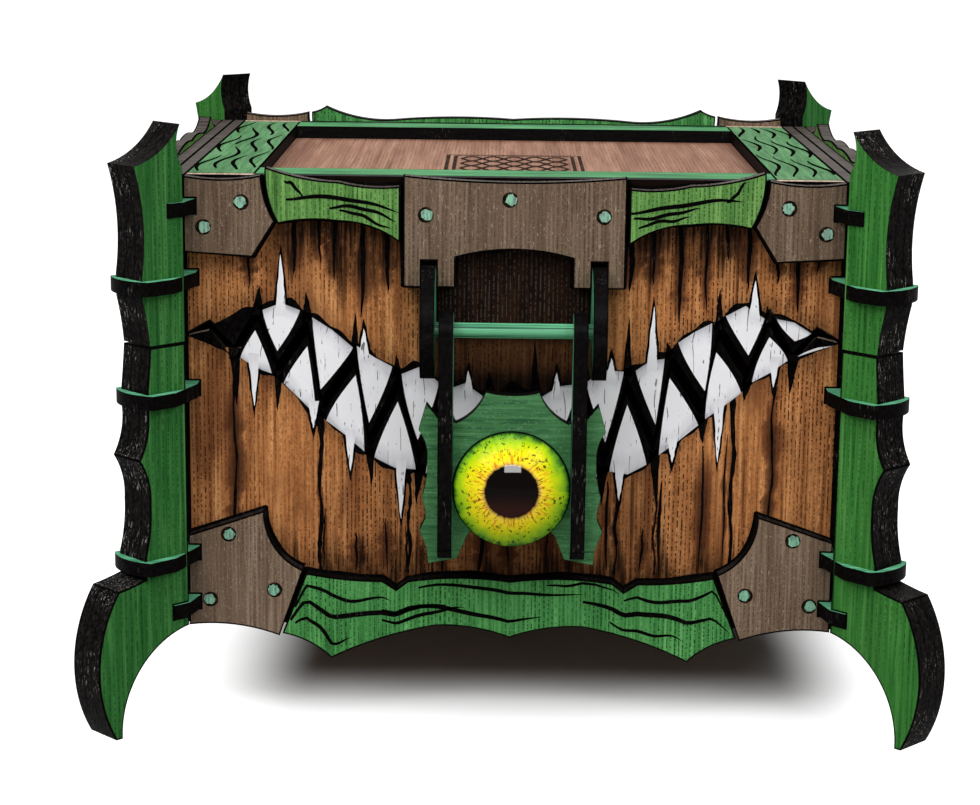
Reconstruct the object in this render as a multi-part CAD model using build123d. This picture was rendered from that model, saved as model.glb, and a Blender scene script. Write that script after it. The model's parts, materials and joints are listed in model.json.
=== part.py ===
from build123d import *
import math
import os

# Plywood chest with claw-footed corner posts, a hinged lid that opens along a
# toothed mouth, and a swinging hasp that carries a glass eye.
# Millimetres, +Z up, front towards -Y, origin on the ground under the middle.

# Sheet and fits
ply = 3.8              # thickness of every sheet
fit_gap = 0.1          # play round a sheet that sits in a slot or notch
seam_gap = 0.5         # open seam between base and lid
joint_gap = 0.8        # gap between two overlays that lie side by side
side_play = 0.3        # play between hinge knuckles, along their pin
pin_play = 0.05        # radial play of a pin in its bore
overrun = 6.0          # how far a cut runs past the face it opens

# Box
panel_width = 174.0    # front and back panels, between the side walls
box_depth = 158.0      # over the front and back overlays
wall_bottom = 24.2     # underside of the walls, above the ground
split_height = 104.0   # where the lid parts from the base, above the ground
lid_height = 42.9      # lid walls above the parting
floor_rise = 3.0       # underside of the floor, above the underside of the walls
tab_length = 18.0      # tabs of floor and top panel in the walls
tab_place_share = 0.5  # tab centres, as a share of the half wall

# Mouth
mouth_sag = 23.0       # drop of the mouth's middle line below its corners
mouth_bite = 10.0      # half the height of the longest teeth
mouth_gap = 5.0        # upright gap between the two rows of teeth
mouth_lean = 1.3       # sideways lean of the teeth where the mouth is steepest
mouth_slope_shares = (0.3, 0.8)  # where the middle line climbs, of the half width
tooth_count = 14

# Corner posts, along the diagonal from the box corner
post_plies = 3
post_inner = 4.5       # box corner to the post's inner edge
post_reach = 34.0      # box corner to the bulge of the claw
horn_rise = 14.3       # horns above the walls
foot_flat = 2.0        # length of the flat under each claw
seat_height = 6.0      # straight stretch of the post where a collar sits

# Collars round the posts and keys behind them
lid_collar_rise = 15.6    # parting up to the collars of the lid
mid_collar_drop = 14.4    # parting down to the upper collars of the base
low_collar_rise = 20.8    # underside of the walls up to the lower collars
lid_key_drop = 7.8        # top of the walls down to the keys behind the horns
foot_key_rise = 7.0       # underside of the walls up to the keys behind the claws
collar_rim = 2.4       # sheet left round the post
hook_depth = 3.1       # how deep a hook sits in the edge of a wall
hook_proud = 0.5       # how far a hook stands out of the overlay
key_bite = 5.0         # how deep a key sits in the post

# Overlay brackets and strips
lid_bracket_width = 24.0
lid_bracket_height = 21.6
lid_bracket_drop = 21.2   # top of the walls down to the foot of a lid bracket
back_bracket_rise = 2.4   # brackets of the lid's back above those of its front
base_bracket_width = 31.0
base_bracket_height = 35.0
base_bracket_drop = 2.5   # foot of a base bracket below the walls
lid_strip_height = 19.6
lid_strip_drop = 17.0     # top of the walls down to the foot of a lid strip
base_strip_height = 24.5
base_strip_drop = 8.7     # foot of a base strip below the walls

# Centre plate of the lid
centre_plate_width = 58.6
centre_plate_drop = 28.7  # top of the walls down to the foot of the plate
centre_plate_rise = 0.8   # plate corners above the walls
centre_plate_dip = 1.5    # hollow of the plate's top edge
arch_width = 31.0
arch_side_height = 8.0
arch_rise = 2.2
ear_slot_clear = 1.3      # slot above the top of an ear

# Frame on top of the lid
window_width = 138.0
window_depth = 115.0

# Hasp with the eye
pivot_rise = 4.5       # parting up to the pivot
pivot_out = 9.0        # pivot in front of the overlay
pivot_radius = 2.0
ear_gap = 1.15         # arm to the ear beside it
ear_front = 5.8        # pivot to the ear's front edge
ear_rise = 15.5        # pivot up to the top of an ear
ear_fall = 13.0        # pivot down to the foot of an ear
ear_root_fall = 2.5    # pivot down to the foot of the ear's tab
arm_gap = 0.4          # eye to the arm beside it
arm_width = 10.0
arm_foot_rise = 1.7    # foot of the plate up to the foot of an arm
wing_width = 5.15      # plate beside each arm
eye_plate_height = 46.6
eye_plate_drop = 20.6  # middle of the eye down to the foot of the plate
lap_height = 20.0      # height of the half-lap above the foot of the arms
eye_drop = 42.1        # pivot down to the middle of the eye
eye_diameter = 30.5
eye_edge = 1.6         # straight edge of the glass
eye_dome = 6.6         # rise of the dome above that edge
rest_width = 18.0
rest_gap = 0.3         # hasp plate to the block behind it
rest_shares = (0.52, 0.92)  # foot and head of that block, from the strip up to the teeth

# Hinges at the back
hinge_out = 18.0       # hinge pin behind the back overlay
hinge_offset = 45.0    # middle of each hinge from the chest's middle
hinge_pin_radius = 1.5
knuckle_radius = 5.0
knuckle_root_share = 0.326  # height of a knuckle's tab, of the lid's height
knuckle_web_share = 0.443   # height of a knuckle at the wall, of the lid's height
knuckle_clear = 3.0    # knuckle web from the seam
heel_height = 4.8
heel_gap = 0.3
lid_open_angle = 100.0

# Outlines as shares of width and height; a pair of points is an arc
bracket_waist_share = 0.53
bracket_foot_share = 0.79
lid_bracket_shares = [
    [(0.0, 0.05)],
    [(0.75, 0.0)],
    [(1.0, 0.44)],
    [(0.89, 0.72), (0.855, 1.0)],
    [(0.42, 0.945), (0.0, 0.985)],
]
base_bracket_shares = [
    [(0.0, 0.08)],
    [(0.0, 0.80)],
    [(0.665, 1.0)],
    [(0.765, 0.70), (1.0, bracket_waist_share)],
    [(bracket_foot_share, 0.0)],
    [(0.38, 0.085), (0.0, 0.08)],
]
short_strip_shares = [
    [(0.0, 0.24)],
    [(0.28, 0.30), (0.5, 0.28)],
    [(0.74, 0.22), (1.0, 0.0)],
    [(1.0, 0.76)],
    [(0.72, 0.75), (0.5, 0.81)],
    [(0.24, 0.85), (-0.105, 1.0)],
    [(-0.082, 0.58), (0.0, 0.24)],
]
long_strip_shares = [
    [(0.0, 0.38)],
    [(0.22, 0.30), (0.42, 0.30)],
    [(0.5, 0.20)],
    [(0.78, 0.34), (1.0, 0.22)],
    [(1.042, 0.58), (1.053, 0.90)],
    [(0.975, 0.945), (0.91, 1.06)],
    [(0.73, 0.925), (0.53, 0.90)],
    [(0.26, 0.955), (0.0, 0.925)],
]
back_strip_shares = [
    [(0.0, 0.38)],
    [(0.22, 0.30), (0.42, 0.30)],
    [(0.5, 0.20)],
    [(0.78, 0.34), (1.0, 0.27)],
    [(1.042, 0.668), (1.053, 1.01)],
    [(1.015, 1.045), (0.978, 1.112)],
    [(0.82, 0.945), (0.63, 0.90)],
    [(0.26, 0.955), (0.0, 0.925)],
]
base_strip_shares = [
    [(0.0, 0.26)],
    [(0.17, 0.37), (0.32, 0.39)],
    [(0.58, 0.22), (0.785, 0.0)],
    [(0.9, 0.2), (1.0, 0.28)],
]
base_strip_top_shares = [
    [(0.78, 0.93), (0.56, 0.90)],
    [(0.5, 0.80)],
    [(0.45, 0.90)],
    [(0.22, 0.95), (0.0, 0.91)],
]
eye_plate_shares = [
    [(0.0, 0.982)],
    [(0.15, 0.986), (0.285, 1.0)],
    [(0.42, 0.885), (0.6, 0.82)],
    [(0.80, 0.85)],
    [(0.92, 0.928)],
    [(1.0, 0.777)],
    [(0.93, 0.71), (0.905, 0.62)],
    [(0.905, 0.53)],
    [(0.925, 0.465), (0.96, 0.395)],
    [(0.92, 0.30)],
    [(0.925, 0.262)],
    [(0.985, 0.195)],
    [(0.91, 0.095)],
    [(0.89, 0.0)],
    [(0.577, 0.032)],
    [(0.476, 0.165)],
    [(0.26, 0.25), (0.0, 0.27)],
]
# Corner posts: reach as shares of the post's reach, heights as said
horn_shares = [        # of the horn's rise above the walls
    [(0.182, 0.636), (0.147, 1.0)],
    [(0.338, 0.54), (0.582, 0.30)],
]
horn_foot_share = 0.217
horn_waist_share = 0.503
lid_seat_share = 0.5235
lid_post_waist_share = 0.485
split_reach_share = 0.462
base_post_neck_share = 0.476
mid_seat_share = 0.494
thorn_shares = [       # of the height between the two collar seats
    [(0.509, 0.8285), (0.582, 0.68)],
    [(0.512, 0.551), (0.488, 0.362)],
]
shin_share = 0.497
low_seat_share = 0.541
claw_shares = [        # of the height of the lower collar
    [(0.632, 0.9175), (0.803, 0.8956)],
    [(1.0, 0.4437), (0.853, 0.0)],
]
claw_hollow_shares = (0.618, 0.388)
claw_root_share = 0.594
collar_shoulder_share = 0.4

# Values that follow from the sizes above
half_width = panel_width / 2
half_depth = box_depth / 2
panel_face = half_depth - ply           # outer face of the front and back panels
panel_back = panel_face - ply           # their inner face
core_face = half_width + ply            # outer face of a side wall's core
plank_face = core_face + ply            # outer face of its planks
side_face = plank_face + ply            # outer face of its overlay
post_thick = post_plies * ply
half_post = post_thick / 2
half_ply = ply / 2
slot_half = half_ply + fit_gap
wall_top = split_height + lid_height
floor_bottom = wall_bottom + floor_rise
frame_bottom = wall_top - ply
top_bottom = frame_bottom - ply
base_top = split_height - seam_gap / 2
lid_bottom = split_height + seam_gap / 2
lid_collar_height = split_height + lid_collar_rise
mid_collar_height = split_height - mid_collar_drop
low_collar_height = wall_bottom + low_collar_rise
lid_key_height = wall_top - lid_key_drop
foot_key_height = wall_bottom + foot_key_rise
lid_seat_reach = post_reach * lid_seat_share
mid_seat_reach = post_reach * mid_seat_share
low_seat_reach = post_reach * low_seat_share
key_reach = post_inner + key_bite
lid_bracket_bottom = wall_top - lid_bracket_drop
base_bracket_bottom = wall_bottom - base_bracket_drop
lid_strip_bottom = wall_top - lid_strip_drop
base_strip_bottom = wall_bottom - base_strip_drop
centre_plate_bottom = wall_top - centre_plate_drop
pivot_height = split_height + pivot_rise
pivot_front = half_depth + pivot_out
ear_top = pivot_height + ear_rise
ear_bottom = pivot_height - ear_fall
ear_root_bottom = pivot_height - ear_root_fall
eye_radius = eye_diameter / 2
eye_height = pivot_height - eye_drop
eye_plate_back = pivot_front - half_ply
eye_plate_front = pivot_front + half_ply
eye_plate_bottom = eye_height - eye_plate_drop
arm_bottom = eye_plate_bottom + arm_foot_rise
arm_offset = eye_radius + arm_gap + half_ply
ear_offset = arm_offset + ply + ear_gap
half_plate = arm_offset + half_ply + wing_width
hinge_back = half_depth + hinge_out
knuckle_root = lid_height * knuckle_root_share
knuckle_web = lid_height * knuckle_web_share
wall_halves = {
    "front": half_width,
    "back": half_width,
    "left": panel_face,
    "right": panel_face,
}
overlay_faces = {
    "front": panel_face,
    "back": panel_face,
    "left": plank_face,
    "right": plank_face,
}


# Shared helpers
def outline(steps):
    edges = []
    here = steps[0][-1]
    for step in steps[1:]:
        end = step[-1]
        if len(step) == 1:
            edges.append(Line(here, end))
        else:
            edges.append(ThreePointArc(here, step[0], end))
        here = end
    if math.dist(here, steps[0][-1]) > 0:
        edges.append(Line(here, steps[0][-1]))
    return make_face(edges)


def scaled(shares, width, height, left=0, bottom=0):
    return [[(left + width * a, bottom + height * b) for a, b in step] for step in shares]


def wall_plane(wall, distance):
    outward = {
        "front": (0, -1, 0),
        "back": (0, 1, 0),
        "left": (-1, 0, 0),
        "right": (1, 0, 0),
    }[wall]
    along = (-outward[1], outward[0], 0)
    origin = (outward[0] * distance, outward[1] * distance, 0)
    return Plane(origin=origin, x_dir=along, z_dir=outward)


def wall_sheet(wall, distance, face):
    return extrude(wall_plane(wall, distance) * face, amount=ply)


def upright(wall, face, place):
    plane = wall_plane(wall, 0)
    turned = Plane(origin=(place, 0, 0), x_dir=plane.z_dir, z_dir=plane.z_dir.cross(Vector(0, 0, 1)))
    return extrude(turned * face, amount=half_ply, both=True)


def block(low, high):
    size = [b - a for a, b in zip(low, high)]
    middle = [(a + b) / 2 for a, b in zip(low, high)]
    return Pos(*middle) * Box(*size)


def rectangle(low, high):
    return outline([[low], [(high[0], low[1])], [high], [(low[0], high[1])]])


def both_sides(shape):
    return [shape, mirror(shape, about=Plane.YZ)]


def at_corners(shape):
    back = {"back_right": shape, "back_left": mirror(shape, about=Plane.YZ)}
    front = {}
    for name, copy in back.items():
        front[name.replace("back", "front")] = mirror(copy, about=Plane.XZ)
    return {**back, **front}


def group(shapes):
    solids = []
    for shape in shapes:
        solids.extend(shape.solids())
    return Compound(children=solids)


# Notches where collars and keys hook into the edges of the walls
def front_notches(heights):
    cuts = []
    for height in heights:
        low = (half_width - hook_depth - fit_gap, panel_back - overrun, height - slot_half)
        high = (half_width + overrun, half_depth + overrun, height + slot_half)
        cuts.extend(at_corners(block(low, high)).values())
    return cuts


def side_notches(heights):
    cuts = []
    for height in heights:
        low = (half_width - overrun, panel_face - hook_depth - fit_gap, height - slot_half)
        high = (side_face + overrun, half_depth + overrun, height + slot_half)
        cuts.extend(at_corners(block(low, high)).values())
    return cuts


base_hooks = [mid_collar_height, low_collar_height, foot_key_height]
lid_hooks = [lid_collar_height, lid_key_height]


# Flat panels that lie level, with tabs in all four walls
def tab_blocks(bottom, gap):
    low_z = bottom - gap
    high_z = bottom + ply + gap
    half_tab = tab_length / 2 + gap
    tabs = []
    for sign in (-1, 1):
        place = sign * half_width * tab_place_share
        tabs.append(block((place - half_tab, -panel_face, low_z), (place + half_tab, panel_face, high_z)))
        place = sign * panel_back * tab_place_share
        tabs.append(block((-core_face, place - half_tab, low_z), (core_face, place + half_tab, high_z)))
    return tabs


def level_panel(bottom):
    low = (-half_width, -panel_back, bottom)
    high = (half_width, panel_back, bottom + ply)
    return block(low, high) + tab_blocks(bottom, 0)


# Toothed line of the mouth, from left to right
def mouth_line(side):
    points = []
    steps = 2 * tooth_count
    start, end = mouth_slope_shares
    for step in range(steps + 1):
        across = 2 * step / steps - 1
        climb = min(max((abs(across) - start) / (end - start), 0), 1)
        middle = split_height - mouth_sag * (1 - climb ** 2 * (3 - 2 * climb))
        swing = mouth_bite * (1 - across ** 4)
        gap = seam_gap + (mouth_gap - seam_gap) * (1 - across ** 8)
        point_side = 1 if step % 2 else -1
        outward = 1 if across > 0 else -1
        lean = 4 * mouth_lean * climb * (1 - climb) * point_side * outward
        points.append((half_width * across - lean, middle + swing * point_side + side * gap / 2))
    return points


# Walls
def wall_face(wall, low, high):
    half = wall_halves[wall]
    return rectangle((-half, low), (half, high))


def knuckle_places(spread):
    return [sign * hinge_offset + side * spread for sign in (-1, 1) for side in (-1, 1)]


def root_slots(wall, places, low, high):
    cuts = []
    for place in places:
        face = rectangle((panel_back - overrun, low - fit_gap), (half_depth, high + fit_gap))
        slot = upright(wall, face, place)
        cuts.append(slot)
        cuts.append(Pos(fit_gap, 0, 0) * slot)
        cuts.append(Pos(-fit_gap, 0, 0) * slot)
    return cuts


base_root_top = base_top - knuckle_clear
base_root_bottom = base_root_top - knuckle_root
lid_root_bottom = lid_bottom + knuckle_clear
lid_root_top = lid_root_bottom + knuckle_root
base_spread = ply + side_play


def base_walls():
    floor_slots = tab_blocks(floor_bottom, fit_gap)
    corners = [[(-half_width, wall_bottom)], [(half_width, wall_bottom)]]
    teeth = [[point] for point in reversed(mouth_line(-1))]
    front = wall_sheet("front", panel_back, outline(corners + teeth))
    back = wall_sheet("back", panel_back, wall_face("back", wall_bottom, base_top))
    back_slots = root_slots("back", knuckle_places(base_spread), base_root_bottom, base_root_top)
    parts["base_front"] = front - front_notches(base_hooks) - floor_slots
    parts["base_back"] = back - front_notches(base_hooks) - floor_slots - back_slots
    for wall in ("left", "right"):
        core = wall_sheet(wall, half_width, wall_face(wall, wall_bottom, base_top))
        planks = wall_sheet(wall, core_face, wall_face(wall, wall_bottom, base_top))
        parts["base_side_" + wall] = core - side_notches(base_hooks) - floor_slots
        parts["base_planks_" + wall] = planks - side_notches(base_hooks)
    parts["base_floor"] = level_panel(floor_bottom)


def lid_walls():
    top_slots = tab_blocks(top_bottom, fit_gap)
    corners = [[(half_width, wall_top)], [(-half_width, wall_top)]]
    teeth = [[point] for point in mouth_line(1)]
    front = wall_sheet("front", panel_back, outline(corners + teeth))
    ear_slots = root_slots("front", (-ear_offset, ear_offset), ear_root_bottom, ear_top)
    back = wall_sheet("back", panel_back, wall_face("back", lid_bottom, wall_top))
    back_slots = root_slots("back", (-hinge_offset, hinge_offset), lid_root_bottom, lid_root_top)
    parts["lid_front"] = front - front_notches(lid_hooks) - top_slots - ear_slots
    parts["lid_back"] = back - front_notches(lid_hooks) - top_slots - back_slots
    for wall in ("left", "right"):
        core = wall_sheet(wall, half_width, wall_face(wall, lid_bottom, wall_top))
        planks = wall_sheet(wall, core_face, wall_face(wall, lid_bottom, wall_top))
        parts["lid_side_" + wall] = core - side_notches(lid_hooks) - top_slots
        parts["lid_planks_" + wall] = planks - side_notches(lid_hooks)
    parts["lid_top"] = level_panel(top_bottom)


# Frame round the sunk window in the top of the lid
def lid_frame():
    window_x = window_width / 2
    window_y = window_depth / 2
    strip = block((window_x, -panel_back, frame_bottom), (half_width, panel_back, wall_top))
    rail = block((-window_x, window_y, frame_bottom), (window_x, panel_back, wall_top))
    parts["lid_strip_right"] = strip
    parts["lid_strip_left"] = mirror(strip, about=Plane.YZ)
    parts["lid_rail_back"] = rail
    parts["lid_rail_front"] = mirror(rail, about=Plane.XZ)


# Corner brackets and carved strips laid on the walls
def bracket_pair(wall, shares, width, height, bottom, cuts):
    half = wall_halves[wall]
    points = [[(half - a, b) for a, b in step] for step in scaled(shares, width, height, bottom=bottom)]
    mirrored = [[(-a, b) for a, b in step] for step in points]
    pair = [wall_sheet(wall, overlay_faces[wall], outline(steps)) for steps in (points, mirrored)]
    return group([piece - cuts for piece in pair])


def mirrored_strip(wall, steps):
    half = outline(steps)
    whole = half + mirror(half, about=Plane.YZ)
    return wall_sheet(wall, overlay_faces[wall], whole)


def base_overlays():
    for wall, half in wall_halves.items():
        cuts = front_notches(base_hooks)
        if wall in ("left", "right"):
            cuts = side_notches(base_hooks)
        parts["base_" + wall + "_brackets"] = bracket_pair(
            wall, base_bracket_shares, base_bracket_width, base_bracket_height, base_bracket_bottom, cuts
        )
        inner = half - base_bracket_width - joint_gap
        foot = half - base_bracket_width * bracket_foot_share - joint_gap
        waist = base_bracket_bottom + base_bracket_height * bracket_waist_share
        steps = scaled(base_strip_shares, foot, base_strip_height, bottom=base_strip_bottom)
        steps.append([(inner, waist - joint_gap)])
        steps += scaled(base_strip_top_shares, foot, base_strip_height, bottom=base_strip_bottom)
        parts["base_" + wall + "_strip"] = mirrored_strip(wall, steps)


def lid_overlays():
    for wall, half in wall_halves.items():
        cuts = front_notches(lid_hooks)
        if wall in ("left", "right"):
            cuts = side_notches(lid_hooks)
        height = lid_bracket_height
        if wall == "back":
            height += back_bracket_rise
        parts["lid_" + wall + "_brackets"] = bracket_pair(
            wall, lid_bracket_shares, lid_bracket_width, height, lid_bracket_bottom, cuts
        )
        reach = half - lid_bracket_width - joint_gap
        if wall == "front":
            length = reach - centre_plate_width / 2 - joint_gap
            steps = scaled(short_strip_shares, -length, lid_strip_height, reach, lid_strip_bottom)
            strip = wall_sheet(wall, overlay_faces[wall], outline(steps))
            parts["lid_front_strips"] = group(both_sides(strip))
        else:
            shares = back_strip_shares if wall == "back" else long_strip_shares
            steps = scaled(shares, reach, lid_strip_height, bottom=lid_strip_bottom)
            parts["lid_" + wall + "_strip"] = mirrored_strip(wall, steps)


def centre_plate():
    edge = centre_plate_width / 2
    top = wall_top + centre_plate_rise
    arch = arch_width / 2
    arch_side = centre_plate_bottom + arch_side_height
    steps = [
        [(-edge, centre_plate_bottom)],
        [(-arch, centre_plate_bottom)],
        [(-arch, arch_side)],
        [(0, arch_side + arch_rise), (arch, arch_side)],
        [(arch, centre_plate_bottom)],
        [(edge, centre_plate_bottom)],
        [(edge, top)],
        [(0, top - centre_plate_dip), (-edge, top)],
    ]
    slot_top = ear_top + ear_slot_clear
    face = outline(steps)
    for place in (-ear_offset, ear_offset):
        low = (place - slot_half, centre_plate_bottom - overrun)
        face -= rectangle(low, (place + slot_half, slot_top))
    parts["lid_centre_plate"] = wall_sheet("front", panel_face, face)


# Corner posts, drawn in the upright diagonal plane of the back right corner
post_plane = Plane(origin=(half_width, half_depth, 0), x_dir=(1, 1, 0), z_dir=(1, -1, 0))


def post_solid(steps, key_height):
    face = outline(steps)
    low = (-overrun, key_height - slot_half)
    face -= rectangle(low, (key_reach + fit_gap, key_height + slot_half))
    return extrude(post_plane * face, amount=half_post, both=True)


def seat_steps(reach, height, waist_share, above):
    top = height + seat_height / 2
    waist = (post_reach * waist_share, (above + top) / 2)
    return [[waist, (reach, top)], [(reach, height - seat_height / 2)]]


def lid_posts():
    steps = [[(post_inner, lid_bottom)], [(post_inner, wall_top + horn_rise * horn_foot_share)]]
    steps += scaled(horn_shares, post_reach, horn_rise, bottom=wall_top)
    brow = steps[-1][-1][1]
    steps += seat_steps(lid_seat_reach, lid_collar_height, horn_waist_share, brow)
    seat_foot = steps[-1][-1][1]
    waist = (post_reach * lid_post_waist_share, (seat_foot + lid_bottom) / 2)
    steps.append([waist, (post_reach * split_reach_share, lid_bottom)])
    for corner, post in at_corners(post_solid(steps, lid_key_height)).items():
        parts["lid_post_" + corner] = post


def base_posts():
    steps = [[(post_inner, base_top)], [(post_reach * split_reach_share, base_top)]]
    steps += seat_steps(mid_seat_reach, mid_collar_height, base_post_neck_share, base_top)
    low_seat_top = low_collar_height + seat_height / 2
    span = steps[-1][-1][1] - low_seat_top
    steps += scaled(thorn_shares, post_reach, span, bottom=low_seat_top)
    thorn_foot = steps[-1][-1][1]
    steps += seat_steps(low_seat_reach, low_collar_height, shin_share, thorn_foot)
    steps += scaled(claw_shares, post_reach, low_collar_height)
    toe = steps[-1][-1][0] - foot_flat
    steps.append([(toe, 0)])
    hollow = scaled([[claw_hollow_shares]], post_reach, low_collar_height)[0][0]
    steps.append([hollow, (post_inner, low_collar_height * claw_root_share)])
    for corner, post in at_corners(post_solid(steps, foot_key_height)).items():
        parts["base_post_" + corner] = post


# Level plates that hook into two walls and hold a post between them
def diagonal(along, across):
    return ((along - across) / math.sqrt(2), (along + across) / math.sqrt(2))


def hook_start():
    return [[(-hook_depth, -ply - hook_depth)], [(-hook_depth, hook_proud)]]


def hook_end():
    side_tip = side_face - half_width + hook_proud
    return [[(side_tip, -ply)], [(side_tip, -ply - hook_depth)]]


def level_plate(steps, height):
    face = Pos(half_width, half_depth, height - half_ply) * outline(steps)
    return extrude(face, amount=ply)


def collar_solid(height, reach):
    ring = half_post + collar_rim
    shoulder = post_inner + (reach - post_inner) * collar_shoulder_share
    steps = hook_start()
    steps.append([diagonal(shoulder, ring)])
    steps.append([diagonal(reach, ring)])
    steps.append([diagonal(reach + collar_rim, 0), diagonal(reach, -ring)])
    steps.append([diagonal(shoulder, -ring)])
    steps += hook_end()
    inner = post_inner - fit_gap
    outer = reach + fit_gap
    wide = half_post + fit_gap
    hole = [
        [diagonal(inner, -wide)],
        [diagonal(outer, -wide)],
        [diagonal(outer, wide)],
        [diagonal(inner, wide)],
    ]
    return level_plate(steps, height) - level_plate(hole, height)


def key_solid(height):
    wide = half_post + hook_proud
    steps = hook_start()
    steps.append([diagonal(post_inner, wide)])
    steps.append([diagonal(key_reach, wide)])
    steps.append([diagonal(key_reach, -wide)])
    steps += hook_end()
    return level_plate(steps, height)


def collars_and_keys():
    parts["lid_collars"] = group(at_corners(collar_solid(lid_collar_height, lid_seat_reach)).values())
    parts["mid_collars"] = group(at_corners(collar_solid(mid_collar_height, mid_seat_reach)).values())
    parts["low_collars"] = group(at_corners(collar_solid(low_collar_height, low_seat_reach)).values())
    parts["lid_keys"] = group(at_corners(key_solid(lid_key_height)).values())
    parts["foot_keys"] = group(at_corners(key_solid(foot_key_height)).values())


# Hinges: two base knuckles and one lid knuckle on each pin
def knuckle_hub():
    return Pos(hinge_back, split_height) * Circle(knuckle_radius)


def knuckle_bore():
    return Pos(hinge_back, split_height) * Circle(hinge_pin_radius + pin_play)


def base_knuckle():
    low = base_top - knuckle_clear - knuckle_web
    middle = ((panel_face + hinge_back) / 2, split_height - knuckle_web / 2)
    web = outline([
        [(panel_face, base_root_top)],
        [(hinge_back, split_height)],
        [(hinge_back, split_height - knuckle_radius)],
        [middle, (panel_face, low)],
    ])
    root = rectangle((panel_back, base_root_bottom), (panel_face, base_root_top))
    return web + root + knuckle_hub() - knuckle_bore()


def lid_knuckle():
    high = lid_root_bottom + knuckle_web
    middle = ((panel_face + hinge_back) / 2, split_height + knuckle_web / 2)
    web = outline([
        [(panel_face, lid_root_bottom)],
        [(hinge_back, split_height)],
        [(hinge_back, split_height + knuckle_radius)],
        [middle, (panel_face, high)],
    ])
    root = rectangle((panel_back, lid_root_bottom), (panel_face, lid_root_top))
    # The heel is drawn where it meets the back wall with the lid open, then turned shut
    heel_top = base_top - heel_gap
    open_heel = rectangle((panel_face + heel_gap, heel_top - heel_height), (hinge_back, heel_top))
    heel = open_heel.rotate(Axis((hinge_back, split_height, 0), (0, 0, 1)), lid_open_angle)
    return web + root + heel + knuckle_hub() - knuckle_bore()


def hinges():
    base_face = base_knuckle()
    lid_face = lid_knuckle()
    parts["hinge_base_knuckles"] = group(
        [upright("back", base_face, place) for place in knuckle_places(base_spread)]
    )
    parts["hinge_lid_knuckles"] = group(
        [upright("back", lid_face, place) for place in (-hinge_offset, hinge_offset)]
    )
    half_pin = base_spread + half_ply
    pin = Rot(0, 90, 0) * Cylinder(hinge_pin_radius, 2 * half_pin)
    parts["hinge_pins"] = group(
        [Pos(place, hinge_back, split_height) * pin for place in (-hinge_offset, hinge_offset)]
    )


# Hasp: ears and dowel on the lid, arms, plate and eye hanging from them
def pivot_hole():
    return Pos(pivot_front, pivot_height) * Circle(pivot_radius + pin_play)


def latch_ears():
    front = pivot_front + ear_front
    crown = (panel_face + pivot_front) / 2
    lobe = half_depth + (pivot_front - half_depth) / 4
    bend = math.sqrt(1 / 2)
    top_mid = (crown + (front - crown) * bend, pivot_height + (ear_top - pivot_height) * bend)
    low_mid = (pivot_front + (front - pivot_front) * bend,
               pivot_height - (pivot_height - ear_bottom) * bend)
    throat = ((panel_face + lobe) / 2 + half_ply / 2, (ear_root_bottom + ear_bottom) / 2)
    body = outline([
        [(panel_face, ear_root_bottom)],
        [(panel_face, ear_top)],
        [(crown, ear_top)],
        [top_mid, (front, pivot_height)],
        [low_mid, (pivot_front, ear_bottom)],
        [(lobe, ear_bottom)],
        [throat, (panel_face, ear_root_bottom)],
    ])
    root = rectangle((panel_back, ear_root_bottom), (panel_face, ear_top))
    face = body + root - pivot_hole()
    parts["latch_ears"] = group([upright("front", face, place) for place in (-ear_offset, ear_offset)])
    dowel = Rot(0, 90, 0) * Cylinder(pivot_radius, 2 * (ear_offset + half_ply))
    parts["latch_pivot"] = Pos(0, -pivot_front, pivot_height) * dowel


def latch_arms():
    half = arm_width / 2
    left = pivot_front - half
    right = pivot_front + half
    corner = half / 2
    lap_top = arm_bottom + lap_height
    body = outline([
        [(left, pivot_height)],
        [(left, arm_bottom + corner)],
        [(left + corner, arm_bottom)],
        [(right - corner, arm_bottom)],
        [(right, arm_bottom + corner)],
        [(right, pivot_height)],
        [(pivot_front, pivot_height + half), (left, pivot_height)],
    ])
    low = (eye_plate_back - fit_gap, arm_bottom - overrun)
    lap = rectangle(low, (eye_plate_front + fit_gap, lap_top + fit_gap))
    face = body - pivot_hole() - lap
    parts["latch_arm_left"] = upright("front", face, -arm_offset)
    parts["latch_arm_right"] = upright("front", face, arm_offset)


def latch_plate():
    steps = scaled(eye_plate_shares, half_plate, eye_plate_height, bottom=eye_plate_bottom)
    half = outline(steps)
    low = (arm_offset - slot_half, arm_bottom + lap_height)
    half -= rectangle(low, (arm_offset + slot_half, eye_plate_bottom + eye_plate_height + overrun))
    face = half + mirror(half, about=Plane.YZ)
    parts["latch_plate"] = wall_sheet("front", eye_plate_back, face)


def latch_eye():
    ball = (eye_radius ** 2 + eye_dome ** 2) / (2 * eye_dome)
    crown = eye_edge + eye_dome
    mid = eye_radius / 2
    shoulder = (mid, crown - ball + math.sqrt(ball ** 2 - mid ** 2))
    section = outline([
        [(0, 0)],
        [(eye_radius, 0)],
        [(eye_radius, eye_edge)],
        [shoulder, (0, crown)],
    ])
    dome = revolve(Plane.XZ * section, axis=Axis.Z)
    placed = Plane(origin=(0, -eye_plate_front, eye_height), x_dir=(1, 0, 0), z_dir=(0, -1, 0))
    parts["latch_eye"] = placed * dome


def latch_rest():
    strip_top = base_strip_bottom + base_strip_height
    teeth_foot = split_height - mouth_sag - mouth_bite - mouth_gap / 2
    foot, head = [strip_top + (teeth_foot - strip_top) * share for share in rest_shares]
    low = (-rest_width / 2, rest_gap - eye_plate_back, foot)
    high = (rest_width / 2, -panel_face, head)
    parts["latch_rest"] = block(low, high)


parts = {}
base_walls()
lid_walls()
lid_frame()
base_overlays()
lid_overlays()
centre_plate()
base_posts()
lid_posts()
collars_and_keys()
hinges()
latch_ears()
latch_arms()
latch_plate()
latch_eye()
latch_rest()

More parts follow.
